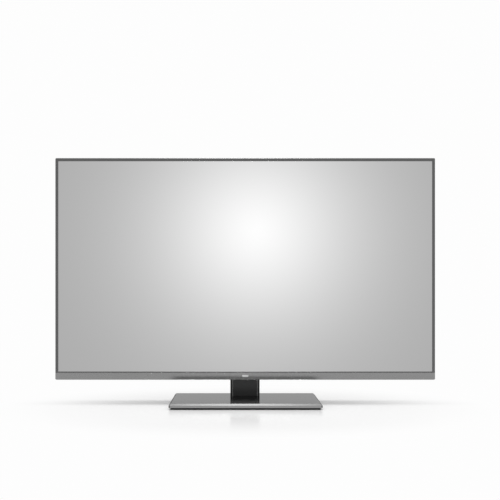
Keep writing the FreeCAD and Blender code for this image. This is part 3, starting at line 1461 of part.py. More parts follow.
def stop_arc():
    """The arc slot through the weight, as wide as the pin with a clearance, over the swivel's range."""
    clear = STOP_PIN_R + GAP
    half_angle = math.radians(SWIVEL_RANGE) + math.asin(clear / STOP_ARC_R)
    inner, outer = STOP_ARC_R - clear, STOP_ARC_R + clear

    def point(radius, angle):
        return vec(radius * math.sin(angle), AXIS_Y - radius * math.cos(angle), WEIGHT_LOW - OVERCUT)

    edges = [
        Part.Arc(point(outer, -half_angle), point(outer, 0), point(outer, half_angle)).toShape(),
        Part.LineSegment(point(outer, half_angle), point(inner, half_angle)).toShape(),
        Part.Arc(point(inner, half_angle), point(inner, 0), point(inner, -half_angle)).toShape(),
        Part.LineSegment(point(inner, -half_angle), point(outer, -half_angle)).toShape(),
    ]
    return Part.Face(Part.Wire(edges)).extrude(vec(0, 0, WEIGHT_T + 2 * OVERCUT))


def base_tray():
    """The black tray that closes the base underneath and stands a little in from its edge."""
    half_w, half_d = BASE_W / 2 - TRAY_INSET, BASE_D / 2 - TRAY_INSET
    radius = BASE_CORNER_R
    plan = rectangle((-half_w, half_w), (-half_d, half_d), radius, radius)
    body = prism("z", plan, TRAY_LOW, PLATE_LOW)
    inner = prism("z", inset(plan, 2 * TRAY_WALL), TRAY_LOW + TRAY_WALL, PLATE_LOW + OVERCUT)
    spots = base_screw_places()
    posts = rods("z", BASE_BOSS_R + TRAY_WALL, (TRAY_LOW, WEIGHT_LOW - OVERCUT), spots)
    rests = rods("z", BASE_BOSS_R, (TRAY_LOW + TRAY_WALL / 2, WEIGHT_LOW), rest_places())
    heads = rods("z", SCREW_HEAD_R + GAP, (0, TRAY_LOW + SCREW_HEAD_H + GAP), spots)
    bores = rods("z", SCREW_R + GAP, (0, BASE_TOP), spots)
    return body.cut(inner).fuse(posts + rests).cut(heads + bores).removeSplitter()


def rest_places():
    """Where the tray's posts hold the weight up, as (x, y)."""
    x = BASE_W / 2 - 5 * FOOT_INSET
    y = BASE_D / 4
    return [(a, b) for a in (-x, x) for b in (-y, y)]


def base_screws():
    """The screws that hold the tray to the base plate, sunk in the tray."""
    seat = TRAY_LOW + SCREW_HEAD_H + GAP
    length = WEIGHT_HIGH - OVERCUT - seat
    spots = base_screw_places()
    return group([screw("z", spot, seat, length, SCREW_R, SCREW_HEAD_R, -1) for spot in spots])


def rubber_feet():
    """The flat rubber pads under the tray."""
    return group(rods("z", FOOT_R, (0, FOOT_H), foot_places()))


def clip_corners():
    """The cable clip seen from above, as (x, y): a C that opens towards the back."""
    half, mouth = CLIP_W / 2, CLIP_MOUTH / 2
    z = NECK_LOW + CLIP_RISE
    front = neck_rear_y(z + CLIP_H / 2)
    rear = neck_rear_y(z) + CLIP_D
    base = front - 2 * OVERCUT
    return [
        (-half, base, 0),
        (half, base, 0),
        (half, rear, CLIP_T * 1.6),
        (mouth, rear, CLIP_T / 3),
        (mouth, rear - CLIP_T, CLIP_T / 3),
        (half - CLIP_T, rear - CLIP_T, CLIP_T * 0.6),
        (half - CLIP_T, neck_rear_y(z) + CLIP_T, CLIP_T / 2),
        (-half + CLIP_T, neck_rear_y(z) + CLIP_T, CLIP_T / 2),
        (-half + CLIP_T, rear - CLIP_T, CLIP_T * 0.6),
        (-mouth, rear - CLIP_T, CLIP_T / 3),
        (-mouth, rear, CLIP_T / 3),
        (-half, rear, CLIP_T * 1.6),
    ]


def neck_rear_y(z):
    """The depth of the neck's sloping back at a height."""
    low, high = NECK_LOW + NECK_UPRIGHT, NECK_TOP
    share = min(max((z - low) / (high - low), 0), 1)
    return NECK_Y + NECK_D + (NECK_TOP_D - NECK_D) * share


def cable_clip():
    """The clip on the neck's back that keeps the cables together."""
    z = NECK_LOW + CLIP_RISE
    body = prism("z", clip_corners(), z - CLIP_H / 2, z + CLIP_H / 2)
    return body.cut(neck_form(0)).removeSplitter()


PIECES = {
    "bezel_frame": bezel_frame,
    "bottom_trim": bottom_trim,
    "sensor_window": sensor_window,
    "sensor_board": sensor_board,
    "screen_gasket": screen_gasket,
    "lcd_cell": lcd_cell,
    "panel_guide": panel_guide,
    "prism_film": lambda: film(FILM_Y, FILM_T),
    "diffuser_film": lambda: film(FILM_Y + FILM_T, FILM_T),
    "light_guide": lambda: film(LIGHT_GUIDE_Y, LIGHT_GUIDE_T),
    "reflector_film": lambda: film(REFLECTOR_Y, REFLECTOR_T),
    "led_strip": led_strip,
    "led_lamps": led_lamps,
    "led_heat_sink": led_heat_sink,
    "back_plate": back_plate,
    "source_boards": source_boards,
    "driver_films": driver_films,
    "flat_cables": flat_cables,
    "tcon_board": tcon_board,
    "main_board": lambda: board("main"),
    "main_components": main_components,
    "power_board": lambda: board("power"),
    "power_components": power_components,
    "wifi_module": wifi_module,
    "board_screws": board_screws,
    "hdmi_sockets": lambda: sockets("hdmi"),
    "usb_sockets": lambda: sockets("usb"),
    "lan_socket": lambda: sockets("lan"),
    "optical_socket": lambda: sockets("optical"),
    "audio_jack": lambda: sockets("jack"),
    "aerial_sockets": lambda: sockets("aerial"),
    "mains_inlet": lambda: sockets("inlet"),
    "speaker_boxes": speaker_boxes,
    "speaker_drivers": speaker_drivers,
    "back_cover": back_cover,
    "cover_screws": cover_screws,
    "vesa_bosses": vesa_bosses,
    "joystick_board": joystick_board,
    "joystick_ring": joystick_ring,
    "joystick_stem": joystick_stem,
    "joystick_knob": joystick_knob,
    "stand_bracket": stand_bracket,
    "bracket_screws": bracket_screws,
    "neck_shell": neck_shell,
    "neck_rear_cover": neck_rear_cover,
    "neck_core": neck_core,
    "cable_clip": cable_clip,
    "stand_screws": stand_screws,
    "swivel_hub": swivel_hub,
    "swivel_retainer": swivel_retainer,
    "swivel_screws": swivel_screws,
    "swivel_washer": swivel_washer,
    "swivel_bush": swivel_bush,
    "friction_washer": friction_washer,
    "base_plate": base_plate,
    "base_weight": base_weight,
    "base_tray": base_tray,
    "base_screws": base_screws,
    "rubber_feet": rubber_feet,
}


def main():
    os.makedirs("parts", exist_ok=True)
    for name, make in PIECES.items():
        shape = make()
        if not shape.isValid() or not shape.Solids:
            raise ValueError(f"{name} is not a sound solid")
        shape.exportStep(f"parts/{name}.step")
        print(f"{name}: {len(shape.Solids)} solid, {shape.Volume / 1000:.2f} cm3")


if __name__ == "__main__":
    main()
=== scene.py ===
"""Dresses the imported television: finishes, small details, floor, light and camera, in metres."""
import json
import math

import bmesh
import bpy
from mathutils import Matrix, Vector


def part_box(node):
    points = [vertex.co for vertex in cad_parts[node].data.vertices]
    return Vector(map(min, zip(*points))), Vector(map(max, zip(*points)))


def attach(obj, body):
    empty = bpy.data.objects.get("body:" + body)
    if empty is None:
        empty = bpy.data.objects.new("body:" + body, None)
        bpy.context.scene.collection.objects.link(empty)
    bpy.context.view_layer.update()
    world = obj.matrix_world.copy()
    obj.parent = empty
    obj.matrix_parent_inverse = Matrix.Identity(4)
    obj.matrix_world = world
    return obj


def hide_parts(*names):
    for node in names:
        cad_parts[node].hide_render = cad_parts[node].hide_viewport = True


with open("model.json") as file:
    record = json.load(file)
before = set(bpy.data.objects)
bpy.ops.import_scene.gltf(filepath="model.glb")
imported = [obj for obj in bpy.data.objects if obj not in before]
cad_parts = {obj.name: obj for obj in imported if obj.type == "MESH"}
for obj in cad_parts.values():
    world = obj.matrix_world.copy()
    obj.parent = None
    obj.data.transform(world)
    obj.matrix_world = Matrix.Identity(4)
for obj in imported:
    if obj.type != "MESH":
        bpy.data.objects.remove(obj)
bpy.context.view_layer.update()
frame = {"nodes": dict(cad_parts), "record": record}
NODES = frame["nodes"]

# The photograph and the camera that took it: pixels of a 500 pixel square, then metres
PHOTO_SIZE = 500
FOCAL_PIXELS = 823.2
VIEW_AXIS_PIXEL = (236.0, 289.4)
CAMERA_PLACE = (-0.0229, -2.0585, 0.2864)
SENSOR_MM = 36.0

# Light: a plain dome, white where it is seen, and one softbox overhead
WHITE = 0.984
DOME = 0.58
SOFTBOX_SIZE = (0.5, 0.12)
SOFTBOX_PLACE = (0.0, -0.025, 1.5)
SOFTBOX_RADIANCE = 64.0

# Floor: glossy near the stand, and its shading fades to plain white over an ellipse
FLOOR_HALF = 30.0
FLOOR_ALBEDO = 0.86
FLOOR_GLOSS = 0.27
FLOOR_GLOSS_ROUGHNESS = 0.18
SHADE_CENTRE = (0.0, -0.05, 0.0)
SHADE_REACH = (0.62, 0.437, 1.0)
SHADE_FROM = 0.25
SHADE_TO = 1.0

# What all finishes share: the middle of a noise, its detail where it is fine, and the eased edges
NOISE_LOW = 0.3
NOISE_HIGH = 0.7
NOISE_ROUGHNESS = 0.55
FINE_DETAIL = 2.0
EDGE_SAMPLES = 4

# Painted glow on the screen: grey emission with a soft light spot as a painted highlight, behind
# anti-glare glass
SPOT_X = 0.0282
SPOT_Z = 0.4324
SPOT_REACH = 0.26
SPOT_POWER = 1.55
PAINTED_GLOW_EDGE = 0.41
PAINTED_HIGHLIGHT_SPOT = 0.58
SCREEN_SHEEN = 0.028
SCREEN_GREY = 0.012
SCREEN_SPECULAR = 0.25
SCREEN_GRAIN = 0.0006
SCREEN_ROUGHNESS = (0.26, 0.34)

# Base: polished metal; its top is painted darker and duller towards the front, a painted shade in which
# the neck's reflection fades; the edge is slope and wall, with greys painted to match how bright each
# looks under the lamp
BASE_TOP_GREY = 0.50
BASE_SLOPE_PAINTED_GREY = 0.16
BASE_WALL_PAINTED_GREY = 0.30
BASE_GRAZING = 0.385
BASE_FRONT_PAINTED_SHADE = 0.30
BASE_FRONT_PAINTED_SHADE_FROM = -0.02
BASE_FRONT_PAINTED_SHADE_TO = -0.10
BASE_FRONT_METAL = 0.90
BASE_ROUGHNESS = 0.11
BASE_EDGE_ROUGHNESS = 0.30
BASE_GLOSS_DRIFT = (0.88, 1.12)
BASE_GRAIN = 0.0003
BASE_RELIEF = 0.0000004
BASE_EASED = 0.0004

# A surface's normal along Z where it counts as wall, as slope and as top
WALL_AIM = 0.2
SLOPE_AIM = 0.5
SLOPE_END_AIM = 0.85
TOP_AIM = 0.95

# Painted shade on the sides of the base and the neck, a matt black in place of their reflections: from
# which normal along X to which it fades in
PAINTED_SIDE_SHADE_GREY = 0.04
PAINTED_SIDE_SHADE_FROM = 0.25
PAINTED_SIDE_SHADE_TO = 0.6
PAINTED_SIDE_SHADE_GRAIN = 0.0003
PAINTED_SIDE_SHADE_DRIFT = (0.8, 1.2)

# How far the strip's shading is turned down, so that it mirrors the base as the photograph shows
TRIM_LEAN = 0.10

# Beads along the neck's front edges, light grey as a painted highlight line
BEAD_INSET = 0.0059
BEAD_WIDTH = 0.0008
BEAD_RISE = 0.00025

# Screws: lengths in metres; a step of the head is its share of the head's height and of its radius
SCREW_SHANK = 0.0015
SCREW_HEAD = 0.002
SCREW_TIP = 0.001
SCREW_POINT = 0.55
SCREW_REACH = 0.03
HEAD_STEPS = [(1.0, 1.0), (0.45, 1.0), (0.12, 0.84), (0.0, 0.62)]
RECESS_LONG = 0.0015
RECESS_HALF = 0.00032
RECESS_DEPTH = 0.0012
RECESS_TAPER = 0.55
RECESS_POINT = 1.15
EPSILON = 1e-9

# Thread of the wall mount's posts
MOUNT_REACH = 0.06
MOUNT_ROOT = 0.00302
MOUNT_CREST = 0.00262
MOUNT_PITCH = 0.001
MOUNT_THREAD_LENGTH = 0.0125
MOUNT_THREAD_START = 0.0006
THREAD_STEPS = 24

# Rubber feet; a groove is its outer and inner share of the radius
FOOT_REACH = 0.03
FOOT_EDGE = 0.0003
FOOT_GROOVE = 0.0004
FOOT_GROOVES = [(0.82, 0.72), (0.60, 0.50), (0.38, 0.28)]
FOOT_SLANT = 0.02
FOOT_STEPS = 40

# Sockets: how far one stands off its board, the step from one to the next, and their kinds in order
SOCKET_STAND = 0.0002
SOCKET_PITCH = 0.025
SIDE_SOCKETS = ("jack", "usb", "usb", "hdmi", "hdmi")
LOWER_SOCKETS = ("hdmi", "lan", "optical", "aerial", "aerial")
MM = 0.001

# Pieces inside the sockets by colour: name, slot and finish
SOCKET_PIECES = {
    "black": ("socket_tongues", "socket_black", "tongue_black"),
    "blue": ("data_tongues", "socket_black", "tongue_blue"),
    "gold": ("socket_contacts", "socket_metal", "contact_gold"),
    "steel": ("socket_threads_and_pins", "socket_metal", "socket_metal"),
    "green": ("network_lamp_green", "socket_black", "lamp_green"),
    "amber": ("network_lamp_amber", "socket_black", "lamp_amber"),
}

# Rows of blocks in a socket, in mm: middles along X, half a width, reach along Y and Z, lean along Y
SOCKET_BLOCKS = {
    "hdmi": [
        ("black", [0.0], 5.7, (2.5, 3.9), (0.9, 10.9), 0.0),
        ("gold", [-4.5 + i for i in range(10)], 0.25, (3.85, 4.0), (1.5, 9.5), 0.0),
        ("gold", [-4.0 + i for i in range(9)], 0.25, (2.4, 2.55), (1.5, 9.5), 0.0),
    ],
    "usb": [
        ("blue", [0.0], 5.7, (1.8, 3.8), (0.9, 12.9), 0.0),
        ("gold", [-3.5, -1.0, 1.0, 3.5], 0.5, (3.75, 3.95), (1.6, 9.0), 0.0),
    ],
    "lan": [
        ("gold", [-3.57 + 1.02 * i for i in range(8)], 0.2, (11.1, 11.5), (1.5, 12.0), -3.0),
        ("green", [-5.8], 1.5, (1.0, 2.8), (-0.2, 0.4), 0.0),
        ("amber", [5.8], 1.5, (1.0, 2.8), (-0.2, 0.4), 0.0),
        ("black", [-6.2, 6.2], 0.3, (3.5, 11.7), (0.4, 12.6), 0.0),
    ],
    "optical": [
        ("black", [0.0], 3.5, (1.9, 8.3), (0.8, 1.5), 0.0),
        ("black", [0.0], 0.9, (7.4, 8.2), (0.5, 0.9), 0.0),
    ],
}

# Profiles of turned parts in the sockets, in mm: levels along Z with their radii
JACK_RING = [(0.0, 1.85), (-0.4, 1.9), (-0.5, 2.1), (-0.5, 2.9), (-0.3, 3.1), (0.0, 3.1), (0.0, 1.85)]
AERIAL_PIN = [(-9.5, 0), (-9.5, 0.3), (-9.3, 0.5), (-1.0, 0.5), (-1.0, 0)]
AERIAL_CONE = [(-9.9, 2.4), (-9.2, 1.1), (-4.5, 0.9), (-2.0, 2.4)]
INLET_PIN = [(1.6, 0), (1.7, 0.6), (2.4, 1.23), (12.2, 1.23), (12.2, 0)]

# Turned parts in a socket: X and Y of the axis in mm, steps round it, and the profile
AERIAL_AXIS = 6.3
SOCKET_TURNS = {
    "jack": [("gold", 0.0, 4.6, 32, JACK_RING)],
    "aerial": [
        ("gold", 0.0, AERIAL_AXIS, 12, AERIAL_PIN),
        ("black", 0.0, AERIAL_AXIS, 24, AERIAL_CONE),
    ],
    "inlet": [("steel", -4.3, 7.6, 20, INLET_PIN), ("steel", 4.3, 7.6, 20, INLET_PIN)],
}

# Thread outside the aerial sockets, in mm: root, crest, both ends and pitch
AERIAL_THREAD = (4.7, 5.05, -9.5, -1.0, 0.8)
AERIAL_STEPS = 32

# Marks round the joystick: half their width is a share of the size, a layer is shares of size and rise
KNOB_PROUD = 0.002
MARK_OFF = 0.0195
MARK_SIZE = 0.0034
MARK_RISE = 0.0003
MARK_HALF = 0.6
MARK_LAYERS = ((1.0, -1.0), (1.0, 0.6), (0.8, 1.0))

# Dust mesh of the speakers, whose inset is a share of its size
SPEAKER_REACH = 0.2
CLOTH_DROP = 0.0004
CLOTH_INSET = 0.03
CLOTH_T = 0.0003

# Small pieces: the bevel of a block as a share of its least size, and the angle of a sharp edge
BLOCK_BEVEL = 0.12
SHARP_ANGLE = math.radians(35)

# Circuit boards: the solder mask, and the size, gap, tint and rise of the tracks
MASK_COLOUR = (0.012, 0.075, 0.03)
MASK_CLOUD = 0.01
MASK_ROUGHNESS = (0.3, 0.42)
TRACK_SIZE = (0.004, 0.004, 0.0012)
TRACK_GAP = 0.08
TRACK_TINT = 1.5
TRACK_RISE = 0.00003

# Components on the boards: size of a cell, grain, and the colour from a share of the cells upwards
COMPONENT_SIZE = (0.016, 1.0, 0.016)
COMPONENT_GRAIN = 0.0008
COMPONENT_RELIEF = 0.00002
COMPONENT_ROUGHNESS = (0.35, 0.55)
COMPONENT_COLOURS = [
    (0.02, (0.02, 0.02, 0.022, 1.0)),
    (0.35, (0.30, 0.30, 0.31, 1.0)),
    (0.50, (0.62, 0.44, 0.05, 1.0)),
    (0.65, (0.02, 0.05, 0.20, 1.0)),
    (0.80, (0.06, 0.06, 0.065, 1.0)),
]


def grey(value):
    """A grey as a colour."""
    return (value, value, value, 1.0)


def rgb(red, green, blue):
    """An opaque colour."""
    return (red, green, blue, 1.0)


def even(size):
    """The same size along each axis."""
    return (size, size, size)


def add(tree, kind, inputs=None, **settings):
    """Adds a shader node; an input is a plain value or another node's output."""
    made = tree.nodes.new("ShaderNode" + kind)
    for name, value in settings.items():
        setattr(made, name, value)
    for name, value in (inputs or {}).items():
        if isinstance(value, bpy.types.NodeSocket):
            tree.links.new(value, made.inputs[name])
        else:
            made.inputs[name].default_value = value
    return made


def new_tree(name):
    """A material with an empty node tree, and that tree."""
    material = bpy.data.materials.new(name)
    material.use_nodes = True
    material.node_tree.nodes.clear()
    return material, material.node_tree


def show(tree, shader):
    """Makes a shader the material's surface."""
    output = add(tree, "OutputMaterial")
    tree.links.new(shader, output.inputs["Surface"])


def place_on(tree, size):
    """Object coordinates divided by a feature size along each axis, in metres."""
    where = add(tree, "TexCoord").outputs["Object"]
    scale = tuple(1 / s for s in size)
    return add(tree, "Mapping", {"Vector": where, "Scale": scale}).outputs["Vector"]


def noise(tree, size, detail=3.0):
    """Noise from 0 to 1 with features of a size along each axis."""
    inputs = {"Vector": place_on(tree, size), "Scale": 1.0, "Detail": detail}
    inputs["Roughness"] = NOISE_ROUGHNESS
    return add(tree, "TexNoise", inputs).outputs["Fac"]


def spread(tree, value, low, high):
    """The middle of a noise stretched from low to high."""
    ends = {"From Min": NOISE_LOW, "From Max": NOISE_HIGH, "To Min": low, "To Max": high}
    return add(tree, "MapRange", {"Value": value, **ends}).outputs["Result"]


def tinted(tree, colour, factor):
    """A colour times a changing factor."""
    made = add(tree, "VectorMath", operation="SCALE")
    made.inputs[0].default_value = colour[:3]
    tree.links.new(factor, made.inputs["Scale"])
    return made.outputs["Vector"]


def paint_side_shade(tree, shader):
    """Paints shade on what faces sideways: a matt black in place of its reflections."""
    aim = add(tree, "TexCoord").outputs["Normal"]
    aim = add(tree, "SeparateXYZ", {"Vector": aim}).outputs["X"]
    sideways = add(tree, "Math", {0: aim}, operation="ABSOLUTE").outputs["Value"]
    ends = {"From Min": PAINTED_SIDE_SHADE_FROM, "From Max": PAINTED_SIDE_SHADE_TO}
    side = add(tree, "MapRange", {"Value": sideways, **ends})
    fine = noise(tree, even(PAINTED_SIDE_SHADE_GRAIN), FINE_DETAIL)
    # Painted shade: the sideways faces turn matt black
    black = tinted(tree, grey(PAINTED_SIDE_SHADE_GREY), spread(tree, fine, *PAINTED_SIDE_SHADE_DRIFT))
    black = add(tree, "BsdfDiffuse", {"Color": black}).outputs["BSDF"]
    both = {0: side.outputs["Result"], 1: shader, 2: black}
    return add(tree, "MixShader", both).outputs["Shader"]


def leaned(tree, normal, lean):
    """A normal turned down a little."""
    turned = add(tree, "VectorMath", {0: normal, 1: (0.0, 0.0, -lean)}).outputs["Vector"]
    return add(tree, "VectorMath", {0: turned}, operation="NORMALIZE").outputs["Vector"]


def finish(
    name,
    colour,
    roughness,
    metallic=0.0,
    mottle=0.04,
    mottle_size=0.04,
    grain=even(0.0008),
    depth=0.00002,
    smear=0.05,
    edge=0.0003,
    painted_side_shade=False,
    lean=0.0,
    **sockets,
):
    """A surface whose colour drifts a little, with fine grain in relief and gloss, and eased edges."""
    material, tree = new_tree(name)
    cloud = noise(tree, even(mottle_size))
    fine = noise(tree, grain, FINE_DETAIL)
    drift = spread(tree, cloud, 1 - mottle, 1 + mottle)
    both = add(tree, "Math", {0: cloud, 1: fine}, operation="ADD").outputs["Value"]
    mean = add(tree, "Math", {0: both, 1: 0.5}, operation="MULTIPLY").outputs["Value"]
    eased = add(tree, "Bevel", {"Radius": edge}, samples=EDGE_SAMPLES).outputs["Normal"]
    if lean:
        eased = leaned(tree, eased, lean)
    relief = add(tree, "Bump", {"Height": fine, "Distance": depth, "Normal": eased})
    inputs = {
        "Base Color": tinted(tree, colour, drift),
        "Roughness": spread(tree, mean, roughness - smear, roughness + smear),
        "Metallic": metallic,
        "Normal": relief.outputs["Normal"],
    }
    inputs.update(sockets)
    surface = add(tree, "BsdfPrincipled", inputs).outputs["BSDF"]
    show(tree, paint_side_shade(tree, surface) if painted_side_shade else surface)
    return material


def screen_finish():
    """Anti-glare glass with a painted glow: grey emission whose soft bright spot is a painted
    highlight.
    """
    material, tree = new_tree("screen_painted_glow")
    where = add(tree, "TexCoord").outputs["Object"]
    flat = add(tree, "VectorMath", {0: where, 1: (1.0, 0.0, 1.0)}, operation="MULTIPLY")
    spot = {0: flat.outputs["Vector"], 1: (SPOT_X, 0.0, SPOT_Z)}
    reach = add(tree, "VectorMath", spot, operation="DISTANCE").outputs["Value"]
    share = add(tree, "Math", {0: reach, 1: SPOT_REACH}, operation="DIVIDE").outputs["Value"]
    power = add(tree, "Math", {0: share, 1: SPOT_POWER}, operation="POWER").outputs["Value"]
    minus = add(tree, "Math", {0: power, 1: -1.0}, operation="MULTIPLY").outputs["Value"]
    fall = add(tree, "Math", {0: minus}, operation="EXPONENT").outputs["Value"]
    # Painted light: the emitted grey, brightest at the spot as a painted highlight, less the glass's
    # own sheen
    lit = {0: fall, 1: PAINTED_HIGHLIGHT_SPOT, 2: PAINTED_GLOW_EDGE - SCREEN_SHEEN}
    tone = add(tree, "Math", lit, operation="MULTIPLY_ADD").outputs["Value"]
    fine = noise(tree, even(SCREEN_GRAIN), 1.0)
    inputs = {
        "Base Color": grey(SCREEN_GREY),
        "Roughness": spread(tree, fine, *SCREEN_ROUGHNESS),
        "Emission Color": tinted(tree, grey(1.0), tone),
        "Emission Strength": 1.0,
        "Specular IOR Level": SCREEN_SPECULAR,
    }
    show(tree, add(tree, "BsdfPrincipled", inputs).outputs["BSDF"])
    return material


def base_finish():
    """Polished metal whose top is painted darker and duller towards the front, with painted greys on
    slope and wall by which way they face, and painted shade in matt black on its sides.
    """
    material, tree = new_tree("base_silver")
    places = add(tree, "TexCoord").outputs
    depth = add(tree, "SeparateXYZ", {"Vector": places["Object"]}).outputs["Y"]
    aim = add(tree, "SeparateXYZ", {"Vector": places["Normal"]}).outputs["Z"]
    ends = {"From Min": SLOPE_END_AIM, "From Max": TOP_AIM}
    upward = add(tree, "MapRange", {"Value": aim, **ends}).outputs["Result"]
    # Painted shade: the top darkens and loses metal towards the front, where the neck's reflection
    # fades
    ends = {"From Min": BASE_FRONT_PAINTED_SHADE_FROM, "From Max": BASE_FRONT_PAINTED_SHADE_TO}
    fade = add(tree, "MapRange", {"Value": depth, **ends}).outputs["Result"]
    ends = {"To Min": BASE_TOP_GREY, "To Max": BASE_TOP_GREY * (1 - BASE_FRONT_PAINTED_SHADE)}
    top = add(tree, "MapRange", {"Value": fade, **ends}).outputs["Result"]
    ends = {"To Min": 1.0, "To Max": BASE_FRONT_METAL}
    metallic = add(tree, "MapRange", {"Value": fade, **ends}).outputs["Result"]
    # Painted light and shade: the wall and the slope take their own greys by which way they face
    ends = {"From Min": WALL_AIM, "From Max": SLOPE_AIM}
    ends.update({"To Min": BASE_WALL_PAINTED_GREY, "To Max": BASE_SLOPE_PAINTED_GREY})
    edge = add(tree, "MapRange", {"Value": aim, **ends}).outputs["Result"]
    tone = {"Factor": upward, "A": edge, "B": top}
    tone = add(tree, "Mix", tone, data_type="FLOAT").outputs["Result"]
    fine = noise(tree, even(BASE_GRAIN), FINE_DETAIL)
    gloss = {"Factor": upward, "A": BASE_EDGE_ROUGHNESS, "B": BASE_ROUGHNESS}
    gloss = add(tree, "Mix", gloss, data_type="FLOAT").outputs["Result"]
    rough = {0: spread(tree, fine, *BASE_GLOSS_DRIFT), 1: gloss}
    rough = add(tree, "Math", rough, operation="MULTIPLY").outputs["Value"]
    eased = add(tree, "Bevel", {"Radius": BASE_EASED}, samples=EDGE_SAMPLES).outputs["Normal"]
    relief = add(tree, "Bump", {"Height": fine, "Distance": BASE_RELIEF, "Normal": eased})
    inputs = {
        "Base Color": tinted(tree, grey(1.0), tone),
        "Roughness": rough,
        "Metallic": metallic,
        "Specular IOR Level": 0.0,
        "Specular Tint": grey(BASE_GRAZING),
        "Normal": relief.outputs["Normal"],
    }
    metal = add(tree, "BsdfPrincipled", inputs).outputs["BSDF"]
    show(tree, paint_side_shade(tree, metal))
    return material


def component_finish():
    """Packages, cans and coils told apart by their place on the boards."""
    material, tree = new_tree("components")
    cells = add(tree, "TexVoronoi", {"Vector": place_on(tree, COMPONENT_SIZE), "Scale": 1.0})
    ramp = add(tree, "ValToRGB")
    ramp.color_ramp.interpolation = "CONSTANT"
    for share, colour in COMPONENT_COLOURS:
        stop = ramp.color_ramp.elements.new(share)
        stop.color = colour
    tree.links.new(cells.outputs["Color"], ramp.inputs["Fac"])
    fine = noise(tree, even(COMPONENT_GRAIN), FINE_DETAIL)
    relief = add(tree, "Bump", {"Height": fine, "Distance": COMPONENT_RELIEF})
    inputs = {
        "Base Color": ramp.outputs["Color"],
        "Roughness": spread(tree, fine, *COMPONENT_ROUGHNESS),
        "Normal": relief.outputs["Normal"],
    }
    show(tree, add(tree, "BsdfPrincipled", inputs).outputs["BSDF"])
    return material


def circuit_finish():
    """Green solder mask over copper tracks, with a little relief where the tracks run."""
    material, tree = new_tree("circuit_board")
    bricks = {"Vector": place_on(tree, TRACK_SIZE), "Scale": 1.0, "Mortar Size": TRACK_GAP}
    tracks = add(tree, "TexBrick", bricks).outputs["Fac"]
    ends = {"To Min": 1.0, "To Max": TRACK_TINT}
    factor = add(tree, "MapRange", {"Value": tracks, **ends}).outputs["Result"]
    relief = add(tree, "Bump", {"Height": tracks, "Distance": TRACK_RISE})
    inputs = {
        "Base Color": tinted(tree, rgb(*MASK_COLOUR), factor),
        "Roughness": spread(tree, noise(tree, even(MASK_CLOUD)), *MASK_ROUGHNESS),
        "Normal": relief.outputs["Normal"],
    }
    show(tree, add(tree, "BsdfPrincipled", inputs).outputs["BSDF"])
    return material


# Grain of worked surfaces: its size along each axis
FINE = even(0.0004)
BRUSHED_X = (0.06, 0.0002, 0.0002)
ROLLED = (0.0003, 0.0003, 0.02)
WOVEN = (0.0007, 0.0007, 0.1)

